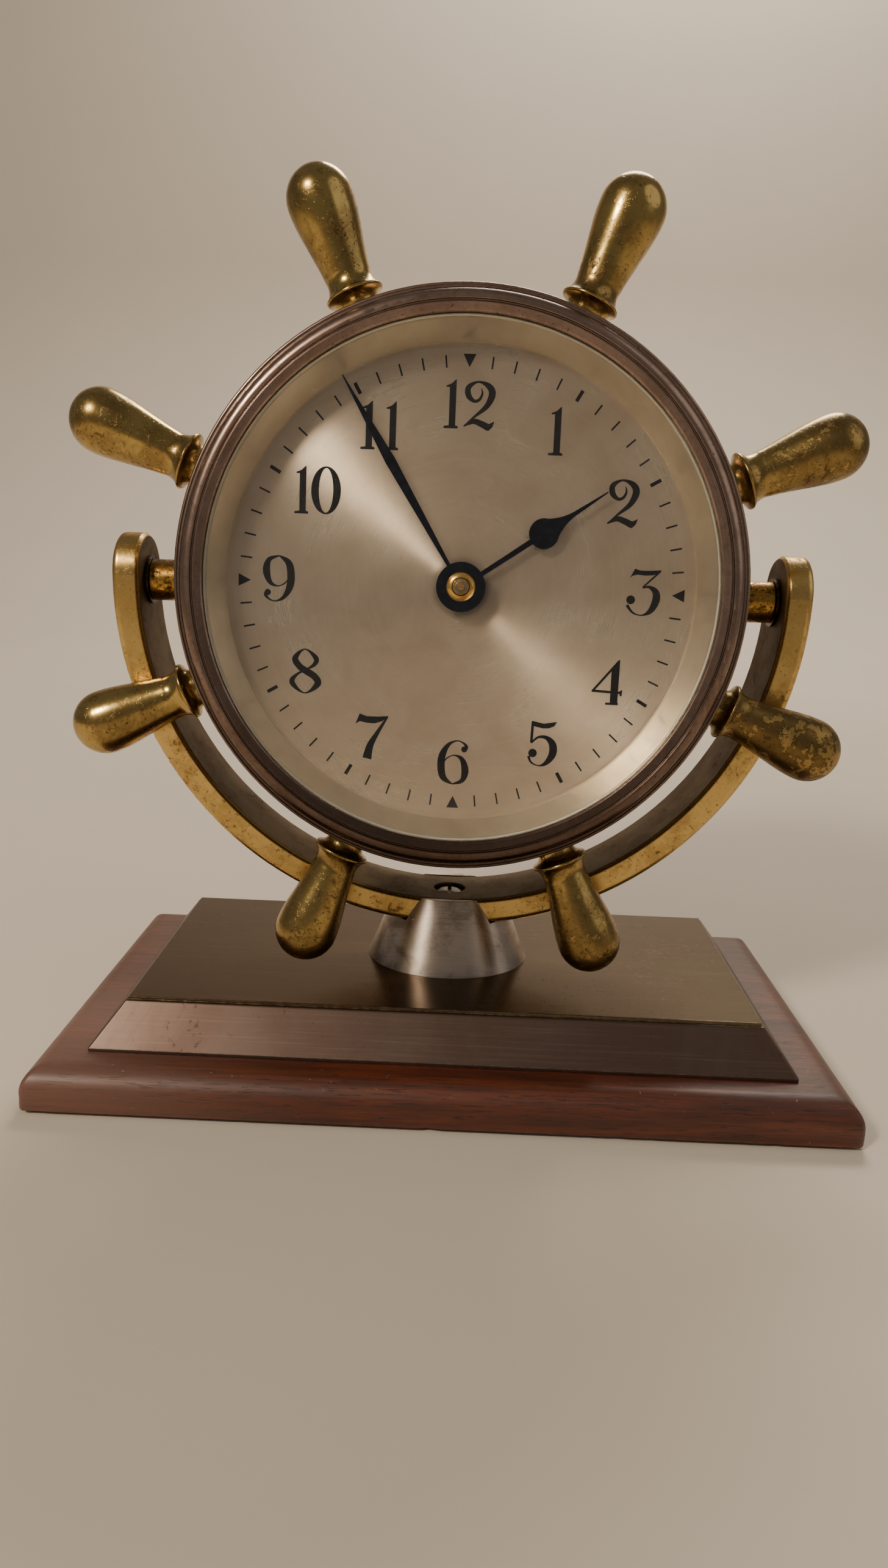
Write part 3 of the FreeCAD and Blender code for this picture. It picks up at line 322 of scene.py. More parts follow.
def bronze(name, clean, dull, gloss):
    """Brown patinated bronze turned on a lathe about the dial's axis, darker towards the bottom as a
    painted reflection.
    """
    look = aged_metal(
        name, clean, dull, srgb(44, 32, 28), gloss=gloss, cover=0.5, spots=0.08, pits=0.06,
        wear=0.5, edge=0.35 * MM, depth=0.008 * MM,
    )
    marks = lathe_marks(look, look.head_place(), 1, (0, 0, PIVOT_Z))
    shade = look.math("MULTIPLY", look.step(marks, 0.42, 0.68), 0.35)
    colour = look.mix(shade, look.source("Base Color"), srgb(160, 140, 126))
    # Painted dark reflection: the colour darkens towards the bottom of the case.
    height = look.parts(look.place)[2]
    painted_reflection_full, painted_reflection_gone = PIVOT_Z - 70.0 * MM, PIVOT_Z + 20.0 * MM
    painted_dark_reflection = look.math("SUBTRACT", 1.0, look.step(height, painted_reflection_full, painted_reflection_gone))
    look.set("Base Color", look.mix(look.math("MULTIPLY", painted_dark_reflection, 0.75), colour, srgb(56, 40, 30)))
    look.set("Roughness", look.total((look.source("Roughness"), 1.0), (marks, 0.16), (-0.08, 1.0)))
    return look


def bright_ring_brass():
    """Bright brass with a fine turned grain about the dial's axis."""
    look = Look("ring_brass_turned", {"Metallic": 1.0})
    marks = lathe_marks(look, look.head_place(), 1, (0, 0, PIVOT_Z), 9000.0)
    haze = look.noise(300.0, 4.0)
    colour = look.mix(look.step(haze, 0.4, 0.7), srgb(226, 184, 96), srgb(176, 132, 62))
    # Recesses darken as painted shade.
    look.set("Base Color", look.mix(look.corners(1.2 * MM), colour, srgb(60, 42, 20)))
    look.set("Roughness", look.total((marks, 0.18), (haze, 0.12), (0.08, 1.0)))
    look.relief(marks, 0.01 * MM, 0.15 * MM)
    return look


def silver_ring():
    """Satin silver plate that has yellowed a little, with a soft turned grain."""
    look = Look("silver_ring_satin", {"Metallic": 1.0})
    marks = lathe_marks(look, look.head_place(), 1, (0, 0, PIVOT_Z), 7000.0)
    haze = look.noise(120.0, 5.0, 0.6, 0.5)
    colour = look.mix(look.step(haze, 0.3, 0.75), srgb(220, 215, 200), srgb(210, 203, 186))
    specks = look.step(look.noise(1500.0, 3.0, 0.6), 0.70, 0.76)
    look.set("Base Color", look.mix(look.math("MULTIPLY", specks, 0.5), colour, srgb(96, 80, 60)))
    look.set("Roughness", look.total((marks, 0.12), (haze, 0.06), (0.24, 1.0)))
    look.relief(marks, 0.006 * MM)
    return look


def silvered_dial():
    """Silvered brass brushed in circles, so that its shine runs out from the middle in two fans."""
    look = Look(
        "silvered_dial_brushed",
        {"Metallic": 0.82, "Anisotropic": 0.95, "Anisotropic Rotation": 0.25},
    )
    place = look.head_place()
    marks = lathe_marks(look, place, 1, (0, 0, PIVOT_Z), 9000.0, 1.6)
    wide = lathe_marks(look, place, 1, (0, 0, PIVOT_Z), 900.0, 0.8)
    haze = look.noise(60.0, 5.0, 0.6, 0.4)
    colour = look.mix(look.step(haze, 0.3, 0.75), srgb(208, 190, 166), srgb(188, 168, 144))
    colour = look.mix(look.math("MULTIPLY", look.step(wide, 0.45, 0.7), 0.12),
                      colour, srgb(220, 206, 184))
    colour = look.mix(look.math("MULTIPLY", look.step(marks, 0.5, 0.75), 0.1),
                      colour, srgb(150, 132, 112))
    specks = look.step(look.noise(1300.0, 3.0, 0.6), 0.71, 0.76)
    look.set("Base Color", look.mix(look.math("MULTIPLY", specks, 0.12), colour, srgb(88, 72, 56)))
    look.set("Roughness", look.total((marks, 0.03), (haze, 0.04), (0.245, 1.0)))
    tangent = look.add("Tangent", direction_type="UV_MAP", uv_map="Round").outputs[0]
    look.set("Tangent", tangent)
    look.relief(look.total((marks, 0.02), (haze, 1.0)), 0.003 * MM)
    return look


def dial_ink():
    """Black printing ink, a little uneven, with pinholes."""
    look = Look("dial_ink_black", {"Metallic": 0.0, "Specular IOR Level": 0.15})
    cloud = look.noise(900.0, 4.0)
    colour = look.mix(look.step(cloud, 0.35, 0.7), srgb(8, 7, 6), srgb(18, 15, 13))
    pinholes = look.step(look.noise(2600.0, 2.0), 0.69, 0.73)
    look.set("Base Color", look.mix(look.math("MULTIPLY", pinholes, 0.6), colour, srgb(120, 100, 80)))
    look.set("Roughness", look.total((cloud, 0.2), (0.45, 1.0)))
    look.relief(cloud, 0.01 * MM)
    return look


def blued_steel():
    """Dark blued steel, rubbed paler along its edges."""
    look = Look("blued_steel_dark", {"Metallic": 1.0})
    cloud = look.noise(500.0, 4.0)
    brushed = look.noise(3000.0, 2.0)
    colour = look.mix(look.step(cloud, 0.35, 0.7), srgb(18, 18, 24), srgb(30, 30, 44))
    rim = look.math("MULTIPLY", look.edges(0.12 * MM), 0.5)
    look.set("Base Color", look.mix(rim, colour, srgb(70, 66, 70)))
    look.set("Roughness", look.total((brushed, 0.16), (cloud, 0.1), (0.18, 1.0)))
    look.relief(brushed, 0.006 * MM, 0.12 * MM)
    return look


def steel(name, clean, dull, gloss, pits, rings, turned=0.0):
    """Steel with a fine grain round its upright axis, pits and dark streaks.

    turned is how strongly its shine follows the turning.
    """
    look = Look(name, {"Metallic": 1.0, "Anisotropic": turned, "Anisotropic Rotation": 0.25})
    if turned:
        look.set("Tangent", look.add("Tangent", direction_type="RADIAL", axis="Z").outputs[0])
    marks = lathe_marks(look, look.place, 2, (0, 0, 0), rings)
    broad = look.noise(110.0, 5.0, 0.6, 0.6)
    colour = look.mix(look.step(broad, 0.4, 0.68), clean, dull)
    pitting = look.total((look.noise(1100.0, 4.0, 0.65), 0.8), (broad, 0.2))
    pit = look.step(pitting, 0.66 - 0.1 * pits, 0.71 - 0.1 * pits)
    colour = look.mix(look.math("MULTIPLY", pit, 0.8), colour, srgb(44, 34, 28))
    streak = look.math("MULTIPLY", look.step(marks, 0.5, 0.72), 0.25)
    colour = look.mix(streak, colour, srgb(60, 56, 54))
    # Recesses darken as painted shade.
    colour = look.mix(look.math("MULTIPLY", look.corners(2.0 * MM), 0.6), colour, srgb(36, 28, 22))
    look.set("Base Color", colour)
    look.set("Roughness", look.total((marks, 0.14), (broad, 0.14), (pit, 0.2), (gloss, 1.0)))
    look.relief(look.total((marks, 0.04), (pit, -0.8), (broad, 0.4)), 0.03 * MM, 0.3 * MM)
    return look


def movement_brass():
    """Gilt movement plates and wheels with a fine straight grain."""
    look = Look("movement_brass_gilt", {"Metallic": 1.0})
    grain = look.noise(1.0, 4.0, 0.6, place=look.scaled(look.place, (160.0, 4000.0, 4000.0)))
    haze = look.noise(140.0, 4.0)
    colour = look.mix(look.step(haze, 0.35, 0.7), srgb(222, 184, 104), srgb(186, 142, 70))
    colour = look.mix(look.math("MULTIPLY", look.step(grain, 0.5, 0.7), 0.3), colour, srgb(150, 110, 52))
    # Recesses darken as painted shade.
    look.set("Base Color", look.mix(look.corners(1.0 * MM), colour, srgb(92, 66, 30)))
    look.set("Roughness", look.total((grain, 0.2), (haze, 0.1), (0.14, 1.0)))
    look.relief(grain, 0.01 * MM, 0.1 * MM)
    return look


def spring_steel():
    """Tempered spring steel, blue with paler bands."""
    look = Look("spring_steel_blue", {"Metallic": 1.0})
    band = look.noise(240.0, 3.0)
    grain = look.noise(2400.0, 2.0)
    look.set("Base Color", look.mix(look.step(band, 0.35, 0.65), srgb(74, 82, 110), srgb(120, 118, 122)))
    look.set("Roughness", look.total((grain, 0.2), (band, 0.1), (0.16, 1.0)))
    look.relief(grain, 0.006 * MM)
    return look


def deck_bronze():
    """The deck plate: brown patinated bronze under thin lacquer, with straight rubbing marks."""
    look = Look("deck_bronze_patina", {"Metallic": 0.85})
    x, _, z = look.parts(look.place)
    grain = look.noise(1.0, 4.0, 0.65, place=look.scaled(look.place, (30.0, 1600.0, 1600.0)))
    broad = look.noise(28.0, 5.0, 0.6, 0.8)
    fine = look.noise(520.0, 5.0, 0.7)
    # Painted reflection: the plate is lighter to the right.
    right_painted_reflection = look.step(look.total((x, 1.0), (broad, 0.06)), -0.03, 0.11)
    colour = look.mix(right_painted_reflection, srgb(84, 66, 47), srgb(98, 86, 66))
    # The sloping sides take a mauve painted reflection, and are rougher.
    bevel_full, bevel_gone = 21.6 * MM, 22.3 * MM
    bevel = look.math("SUBTRACT", 1.0, look.step(z, bevel_full, bevel_gone))
    colour = look.mix(bevel, colour, srgb(104, 86, 78))
    colour = look.mix(look.math("MULTIPLY", look.step(broad, 0.42, 0.66), 0.4), colour, srgb(84, 62, 52))
    colour = look.mix(look.math("MULTIPLY", look.step(grain, 0.5, 0.7), 0.2), colour, srgb(140, 120, 100))
    stain = look.step(look.total((fine, 0.7), (broad, 0.3)), 0.58, 0.68)
    colour = look.mix(look.math("MULTIPLY", stain, 0.45), colour, srgb(56, 42, 34))
    rubbed = look.math("MULTIPLY", look.edges(0.45 * MM, 0.01, 0.12), look.step(fine, 0.42, 0.6))
    colour = look.mix(look.math("MULTIPLY", rubbed, 0.8), colour, srgb(190, 168, 140))
    look.set("Base Color", colour)
    rough = look.total((broad, 0.10), (grain, 0.08), (stain, 0.12), (fine, 0.05), (bevel, 0.16),
                       (0.12, 1.0))
    look.set("Roughness", rough)
    look.relief(look.total((grain, 0.25), (stain, -0.3), (broad, 1.2)), 0.03 * MM, 0.35 * MM)
    return look


def mahogany():
    """Varnished mahogany: long grain, open pores, worn pale edges and small chips."""
    look = Look(
        "mahogany_varnished",
        {"Metallic": 0.0, "Coat Weight": 0.4, "Coat Roughness": 0.36, "Coat IOR": 1.5},
    )
    place = look.place
    figure = look.noise(1.0, 5.0, 0.6, 1.2, look.scaled(place, (14.0, 110.0, 130.0)))
    streak = look.noise(1.0, 4.0, 0.65, 0.3, look.scaled(place, (40.0, 900.0, 900.0)))
    pores = look.noise(1.0, 2.0, 0.6, 0.0, look.scaled(place, (160.0, 2600.0, 2600.0)))
    colour = look.mix(look.step(figure, 0.3, 0.7), srgb(104, 48, 23), srgb(68, 29, 13))
    colour = look.mix(look.math("MULTIPLY", look.step(streak, 0.42, 0.62), 0.6), colour, srgb(54, 24, 12))
    pore = look.step(pores, 0.60, 0.68)
    colour = look.mix(look.math("MULTIPLY", pore, 0.75), colour, srgb(34, 14, 10))
    x, y, z = look.parts(place)
    # A painted sheen towards the left, strongest on the front.
    painted_sheen = look.step(look.total((x, -1.0), (figure, 0.05)), 0.05, 0.12)
    front = look.step(look.total((y, -1.0), (figure, 0.02)), 0.0, 0.04)
    painted_sheen = look.math("MULTIPLY", painted_sheen, look.spread(front, 0.08, 0.32))
    colour = look.mix(painted_sheen, colour, srgb(166, 124, 108))
    edge = look.edges(1.6 * MM, 0.01, 0.10)
    worn = look.math("MULTIPLY", edge, look.step(look.noise(240.0, 5.0, 0.7), 0.42, 0.62))
    colour = look.mix(look.math("MULTIPLY", worn, 0.75), colour, srgb(158, 86, 58))
    # Pale flecks, mostly along the lower edge and on the rounded upper one.
    fleck = look.step(look.noise(620.0, 3.0, 0.65, 0.6), 0.69, 0.73)
    low = look.math("SUBTRACT", 1.0, look.step(z, 1.6 * MM, 3.6 * MM))
    high = look.step(z, 8.0 * MM, 11.0 * MM)
    near = look.math("ADD", low, look.math("MULTIPLY", high, 0.6), clamp=True)
    fleck = look.math("MULTIPLY", fleck, look.spread(near, 0.1, 1.0))
    colour = look.mix(look.math("MULTIPLY", fleck, 0.8), colour, srgb(184, 150, 124))
    look.set("Base Color", colour)
    look.set("Roughness", look.total((figure, 0.15), (streak, 0.15), (worn, 0.2), (0.36, 1.0)))
    height = look.total((streak, 0.3), (pore, -0.9), (fleck, -0.8), (figure, 0.5))
    look.relief(height, 0.06 * MM, 0.5 * MM)
    return look


def felt():
    """Dark wool felt with matted fibres."""
    look = Look("felt_dark", {"Roughness": 0.95, "Sheen Weight": 0.5, "Sheen Roughness": 0.5})
    fibres = look.noise(1.0, 6.0, 0.75, 2.5, look.scaled(look.place, (900.0, 1300.0, 2400.0)))
    cloud = look.noise(160.0, 3.0)
    colour = look.mix(look.step(fibres, 0.35, 0.7), srgb(20, 24, 20), srgb(44, 48, 40))
    look.set("Base Color", look.mix(look.math("MULTIPLY", cloud, 0.3), colour, srgb(30, 30, 26)))
    look.relief(fibres, 0.25 * MM)
    return look


def clear_glass():
    """Thin watch glass with faint smears."""
    look = Look("glass_clear", {"Transmission Weight": 1.0, "IOR": 1.45, "Metallic": 0.0})
    smear = look.noise(60.0, 4.0, 0.6, 1.2)
    look.set("Base Color", look.mix(look.step(smear, 0.3, 0.8), (1, 1, 1, 1), (0.97, 0.97, 0.95, 1)))
    look.set("Roughness", look.math("MULTIPLY", smear, 0.004))
    return look


def dress(look, *names):
    """Gives the material to CAD nodes, by name."""
    for name in names:
        node = nodes[name]
        for slot in node.material_slots:
            slot.material = look.material


# ---------------------------------------------------------------------------------------------
# Mesh helpers
# ---------------------------------------------------------------------------------------------
def new_piece(name, verts, faces, look, body, smooth=True):
    """A mesh piece in the row frame that rides on a body."""
    mesh = bpy.data.meshes.new(name)
    mesh.from_pydata(verts, [], faces)
    mesh.validate()
    mesh.materials.append(look.material)
    mesh.polygons.foreach_set("use_smooth", [smooth] * len(mesh.polygons))
    piece = bpy.data.objects.new(name, mesh)
    bpy.context.scene.collection.objects.link(piece)
    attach(piece, body)
    return piece


def rectangle_ring(half_x, half_y, corner, z, spacing, corner_steps=8):
    """Points round a rectangle with rounded corners, at a height, with long sides divided."""
    points = []
    quarter = [(1, 1), (-1, 1), (-1, -1), (1, -1)]
    for index, (side_x, side_y) in enumerate(quarter):
        centre = Vector((side_x * (half_x - corner), side_y * (half_y - corner), z))
        for step in range(corner_steps + 1):
            angle = math.radians(90 * index + 90 * step / corner_steps)
            points.append(centre + corner * Vector((math.cos(angle), math.sin(angle), 0)))
        next_x, next_y = quarter[(index + 1) % 4]
        start = points[-1]
        turn = math.radians(90 * (index + 1))
        end = Vector((next_x * (half_x - corner), next_y * (half_y - corner), z))
        end += corner * Vector((math.cos(turn), math.sin(turn), 0))
        divisions = spacing[index % 2]
        points += [start.lerp(end, i / divisions) for i in range(1, divisions)]
    return points


def loft(rings):
    """(verts, faces) of a closed solid through rings of the same number of points, capped."""
    count = len(rings[0])
    verts = [point for ring in rings for point in ring]
    faces = []
    for row in range(len(rings) - 1):
        for i in range(count):
            j = (i + 1) % count
            low, high = row * count, (row + 1) * count
            faces.append((low + i, low + j, high + j, high + i))
    faces.append(tuple(reversed(range(count))))
    faces.append(tuple(range((len(rings) - 1) * count, len(rings) * count)))
    return verts, faces


def arc_profile(centre, radius, start, end, steps):
    """(inset, height) points on an arc: centre is (inset, height), angles in degrees."""
    points = []
    for i in range(steps + 1):
        angle = math.radians(start + (end - start) * i / steps)
        points.append((centre[0] + radius * math.cos(angle), centre[1] + radius * math.sin(angle)))
    return points


# ---------------------------------------------------------------------------------------------
# The mahogany plinth, its felt, and the deck plate
# ---------------------------------------------------------------------------------------------
def wear_down(points, seed, edge_low, edge_high):
    """Moves a ring's points inwards a little, with deeper chips below edge_low and over edge_high."""
    wave_scale, chip_scale, chip_share_between = 60.0, 330.0, 0.35
    worn = []
    for point in points:
        place = point * wave_scale + Vector((seed, 0, 0))
        wave = 0.5 + 0.5 * noise.noise(place)
        chip = max(0.0, noise.noise(point * chip_scale + Vector((0, seed, 0))) - 0.32)
        near_edge = 1.0 if point.z < edge_low or point.z > edge_high else chip_share_between
        inwards = (0.06 * wave + 1.3 * chip * near_edge) * MM
        middle = Vector((0, 0, point.z))
        worn.append(point + (middle - point).normalized() * inwards)
    return worn


def build_wood(look):
    """The plinth: a small foot bevel, an upright side, a wide rounded edge and a flat top."""
    low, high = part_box("wood_base")
    half_x, half_y = high.x, high.y
    foot = 0.5 * MM
    round_over = 6.3 * MM
    profile = [(foot, low.z), (0.12 * MM, low.z + 0.15 * MM), (0.0, low.z + foot)]
    for share in (0.35, 0.7, 1.0):
        profile.append((0.0, low.z + foot + share * (high.z - round_over - low.z - foot)))
    arc = arc_profile((round_over, high.z - round_over), round_over, 180, 90, 10)
    profile += arc[1:]
    profile += [(9.0 * MM, high.z), (20.0 * MM, high.z)]
    rings = []
    for inset, z in profile:
        corner = max(1.6 * MM - 0.2 * inset, 0.8 * MM)
        ring = rectangle_ring(half_x - inset, half_y - inset, corner, z, (120, 66))
        rings.append(wear_down(ring, 7.0, low.z + 1.0 * MM, high.z))
    verts, faces = loft(rings)
    wood = new_piece("wood_plinth", verts, faces, look, "base")
    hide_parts("wood_base")
    return wood


def build_felt(look):
    """The felt: a thin pad with a frayed rim, lying flat under the plinth."""
    low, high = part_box("felt_pad")
    profile = [(0.5 * MM, 0.0), (0.1 * MM, 0.3), (0.0, 0.55), (0.15 * MM, 0.9), (0.5 * MM, 1.0)]
    rings = []
    for row, (inset, share) in enumerate(profile):
        z = low.z + share * (high.z - low.z)
        ring = rectangle_ring(high.x - inset, high.y - inset, 1.2 * MM, z, (150, 80), 4)
        frayed = []
        for point in ring:
            fray = 0.25 + 0.5 * noise.noise(point * 700.0 + Vector((0, 0, 3.0 * row)))
            frayed.append(point + (Vector((0, 0, point.z)) - point).normalized() * fray * 0.5 * MM)
        rings.append(frayed)
    verts, faces = loft(rings)
    pad = new_piece("felt_sheet", verts, faces, look, "base")
    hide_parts("felt_pad")


def build_deck(look):
    """The deck plate: a thin lip, sloping sides and a raised panel, all with crisp edges."""
    low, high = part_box("base_plate")
    edge_round, shoulder_round = 0.2 * MM, 0.35 * MM
    lip = 1.0 * MM
    slope = 7.3 * MM
    shoulder_z = 22.2 * MM
    panel_inset = 8.0 * MM
    profile = [(0.15 * MM, low.z), (0.0, low.z + 0.15 * MM)]
    profile += arc_profile((edge_round, low.z + lip - edge_round), edge_round, 180, 120, 3)
    slope_angle = math.degrees(math.atan2(shoulder_z - low.z - lip, slope))
    round_centre = (slope + 0.25 * MM, shoulder_z - shoulder_round)
    profile += arc_profile(round_centre, shoulder_round, 90 + slope_angle, 90, 4)
    profile += [(panel_inset - 0.12 * MM, shoulder_z), (panel_inset, shoulder_z + 0.1 * MM)]
    panel_centre = (panel_inset + edge_round, high.z - edge_round)
    profile += arc_profile(panel_centre, edge_round, 180, 90, 4)
    profile += [(panel_inset + 1.5 * MM, high.z)]
    rings = []
    for inset, z in profile:
        corner = 0.5 * MM if inset < slope else 0.35 * MM
        rings.append(rectangle_ring(high.x - inset, high.y - inset, corner, z, (40, 20), 4))
    verts, faces = loft(rings)
    deck = new_piece("deck_plate", verts, faces, look, "base", smooth=False)
    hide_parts("base_plate")


# ---------------------------------------------------------------------------------------------
# The dial
# ---------------------------------------------------------------------------------------------
def build_dial(look):
    """A flat ring with a tiny rolled edge. Its UV map runs round the dial, for the brushing."""
    steps = 240
    front, back = DIAL_FACE, DIAL_FACE - DIAL_THICKNESS
    edge = 0.08 * MM
    profile = [(DIAL_HOLE_RADIUS + edge, back), (DIAL_HOLE_RADIUS, back + edge)]
    profile += [(DIAL_HOLE_RADIUS, front - edge), (DIAL_HOLE_RADIUS + edge, front)]
    span = DIAL_RADIUS - DIAL_HOLE_RADIUS - 2 * edge
    profile += [(DIAL_HOLE_RADIUS + edge + span * i / 18, front) for i in range(1, 19)]
    profile += [(DIAL_RADIUS, front - edge), (DIAL_RADIUS, back + edge), (DIAL_RADIUS - edge, back)]
    mesh = bpy.data.meshes.new("dial_face")
    bm = bmesh.new()
    uv_layer = bm.loops.layers.uv.new("Round")
    rings = []
    for radius, z in profile:
        angles = [2 * math.pi * i / steps for i in range(steps)]
        rings.append([bm.verts.new(HEAD @ Vector((radius * math.cos(a), radius * math.sin(a), z)))
                      for a in angles])
    rows = len(profile)
    for row in range(rows):
        inner, outer = rings[row], rings[(row + 1) % rows]
        for i in range(steps):
            j = (i + 1) % steps
            face = bm.faces.new((inner[i], outer[i], outer[j], inner[j]))
            face.smooth = 3 <= row < rows - 4
            around = (i / steps, i / steps, (i + 1) / steps, (i + 1) / steps)
            across = (row / rows, (row + 1) / rows, (row + 1) / rows, row / rows)
            for loop, u, v in zip(face.loops, around, across):
                loop[uv_layer].uv = (u, v)
    bm.to_mesh(mesh)
    bm.free()
    mesh.materials.append(look.material)
    dial = bpy.data.objects.new("dial_face", mesh)
    bpy.context.scene.collection.objects.link(dial)
    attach(dial, "head")
    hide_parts("dial_plate")


# ---------------------------------------------------------------------------------------------
# The numerals: pen strokes and plain outlines, in units of the numeral's height
# ---------------------------------------------------------------------------------------------
def smooth_knots(knots, closed, steps=7):
    """Points of a smooth line through (x, y, half width) knots."""
    count = len(knots)
    spans = count if closed else count - 1
    points = []
    for i in range(spans):
        if closed:
            four = [knots[(i + k) % count] for k in (-1, 0, 1, 2)]
        else:
            four = [knots[min(max(i + k, 0), count - 1)] for k in (-1, 0, 1, 2)]
        a, b, c, d = (Vector(k) for k in four)
        for s in range(steps):
            t = s / steps
            points.append(0.5 * (2 * b + (c - a) * t + (2 * a - 5 * b + 4 * c - d) * t ** 2
                                 + (3 * b - a - 3 * c + d) * t ** 3))
    points.append(Vector(knots[0] if closed else knots[-1]))
    return points


def stroke(*knots, closed=False):
    """A pen stroke of changing width as a row of three-sided patches."""
    thinnest = 0.006
    points = smooth_knots(knots, closed)
    sides = []
    last = len(points) - 1
    for i, point in enumerate(points):
        ahead = points[1] if closed and i == last else points[min(i + 1, last)]
        behind = points[last - 1] if closed and i == 0 else points[max(i - 1, 0)]
        run = Vector((ahead.x - behind.x, ahead.y - behind.y)).normalized()
        across = Vector((-run.y, run.x)) * max(point.z, thinnest)
        here = Vector((point.x, point.y))
        sides.append((here + across, here - across))
    patches = []
    for (left, right), (next_left, next_right) in zip(sides, sides[1:]):
        patches += [[left, right, next_right], [left, next_right, next_left]]
    return patches


def outline(*points):
    """A filled outline as one patch."""
    return [[Vector(p) for p in points]]


def ball(x, y, radius, steps=20):
    """A filled circle as one patch."""
    ring = [2 * math.pi * i / steps for i in range(steps)]
    return [[Vector((x + radius * math.cos(a), y + radius * math.sin(a))) for a in ring]]


def half_turn(patches, width):
    """The same figure turned upside down."""
    return [[Vector((width - p.x, 1.0 - p.y)) for p in patch] for patch in patches]


def oval_band(width, outer, inner, steps=40):
    """An upright oval ring: outer and inner are its half sizes."""
    patches = []
    for i in range(steps):
        corners = []
        for size, angle in ((outer, i), (inner, i), (inner, i + 1), (outer, i + 1)):
            turn = 2 * math.pi * angle / steps
            corners.append(Vector((width / 2 + size[0] * math.cos(turn),
                                   0.5 + size[1] * math.sin(turn))))
        patches.append(corners)
    return patches


ONE = outline((0, 0), (0.30, 0), (0.30, 0.045), (0.245, 0.06), (0.245, 1.0), (0.22, 0.985),
              (0.14, 0.91), (0.03, 0.865), (0.035, 0.84), (0.105, 0.84), (0.105, 0.06), (0, 0.045))

TWO = (
    stroke((0.40, 0.83, 0.008), (0.42, 0.72, 0.022), (0.36, 0.60, 0.03), (0.25, 0.57, 0.035),
           (0.13, 0.68, 0.06), (0.13, 0.85, 0.055), (0.33, 0.96, 0.02), (0.55, 0.88, 0.06),
           (0.63, 0.72, 0.075), (0.52, 0.47, 0.055), (0.27, 0.25, 0.025), (0.05, 0.05, 0.012))
    + stroke((0.05, 0.05, 0.015), (0.13, 0.10, 0.03), (0.27, 0.155, 0.055),
             (0.42, 0.11, 0.065), (0.55, 0.05, 0.07))
    + outline((0.50, -0.01), (0.58, -0.03), (0.66, 0.05), (0.70, 0.17), (0.60, 0.12), (0.50, 0.11))
)

THREE = (
    outline((0.09, 0.80), (0.15, 0.85), (0.25, 0.875), (0.42, 0.86), (0.60, 0.875), (0.72, 0.92),
            (0.77, 0.985), (0.50, 0.965), (0.30, 0.965), (0.19, 1.0))
    + stroke((0.74, 0.96, 0.018), (0.38, 0.61, 0.018))
    + stroke((0.38, 0.60, 0.018), (0.52, 0.62, 0.03), (0.66, 0.52, 0.07), (0.68, 0.34, 0.083),
             (0.58, 0.12, 0.06), (0.40, 0.015, 0.016), (0.20, 0.06, 0.02), (0.06, 0.22, 0.035))
    + ball(0.135, 0.335, 0.095)
)

FOUR = (
    outline((0.41, 0.03), (0.575, 0.03), (0.585, 1.0), (0.41, 0.78))
    + stroke((0.57, 0.97, 0.025), (0.015, 0.29, 0.025))
    + stroke((0.0, 0.30, 0.026), (0.64, 0.27, 0.026))
    + outline((0.60, 0.30), (0.62, 0.20), (0.66, 0.20), (0.67, 0.34))
    + outline((0.31, 0.0), (0.59, 0.0), (0.59, 0.05), (0.31, 0.05))
)

FIVE = (
    stroke((0.085, 0.985, 0.028), (0.07, 0.52, 0.028))
    + outline((0.06, 1.0), (0.10, 0.89), (0.30, 0.845), (0.44, 0.85), (0.56, 0.90), (0.62, 1.0),
              (0.33, 0.95), (0.09, 1.0))
    + stroke((0.07, 0.515, 0.02), (0.22, 0.645, 0.025), (0.40, 0.64, 0.045), (0.54, 0.50, 0.08),
             (0.55, 0.28, 0.083), (0.42, 0.08, 0.05), (0.26, 0.015, 0.014), (0.09, 0.08, 0.02),
             (0.02, 0.22, 0.03))
    + ball(0.11, 0.29, 0.095)
)

SIX = (
    stroke((0.585, 0.80, 0.068), (0.63, 0.86, 0.04), (0.56, 0.94, 0.02), (0.42, 0.985, 0.014),
           (0.24, 0.90, 0.04), (0.11, 0.68, 0.075), (0.083, 0.42, 0.083), (0.14, 0.16, 0.07),
           (0.34, 0.015, 0.014))
    + ball(0.585, 0.80, 0.068)
    + stroke((0.34, 0.015, 0.014), (0.56, 0.10, 0.05), (0.62, 0.33, 0.08), (0.54, 0.58, 0.05),
             (0.37, 0.66, 0.014), (0.22, 0.60, 0.014), (0.14, 0.50, 0.012))
)

SEVEN = (
    outline((0, 0.77), (0.10, 0.83), (0.25, 0.80), (0.42, 0.79), (0.60, 0.85), (0.735, 0.965),
            (0.50, 0.945), (0.25, 0.945), (0.09, 1.0))
    + stroke((0.71, 0.95, 0.02), (0.50, 0.60, 0.045), (0.34, 0.30, 0.075), (0.275, 0.005, 0.10))
)

EIGHT = stroke(
    (0.33, 0.98, 0.014), (0.12, 0.78, 0.065), (0.22, 0.60, 0.07), (0.37, 0.50, 0.075),
    (0.56, 0.38, 0.075), (0.62, 0.22, 0.07), (0.34, 0.02, 0.014), (0.06, 0.24, 0.06),
    (0.16, 0.42, 0.03), (0.38, 0.54, 0.02), (0.55, 0.66, 0.045), (0.57, 0.80, 0.055),
    closed=True,
)

NINE = half_turn(SIX, 0.70)
ZERO = oval_band(0.64, (0.32, 0.5), (0.155, 0.465))

# Each figure and its width.
FIGURES = {
    "0": (ZERO, 0.64), "1": (ONE, 0.30), "2": (TWO, 0.70), "3": (THREE, 0.77), "4": (FOUR, 0.67),
    "5": (FIVE, 0.63), "6": (SIX, 0.70), "7": (SEVEN, 0.735), "8": (EIGHT, 0.73), "9": (NINE, 0.70),
}

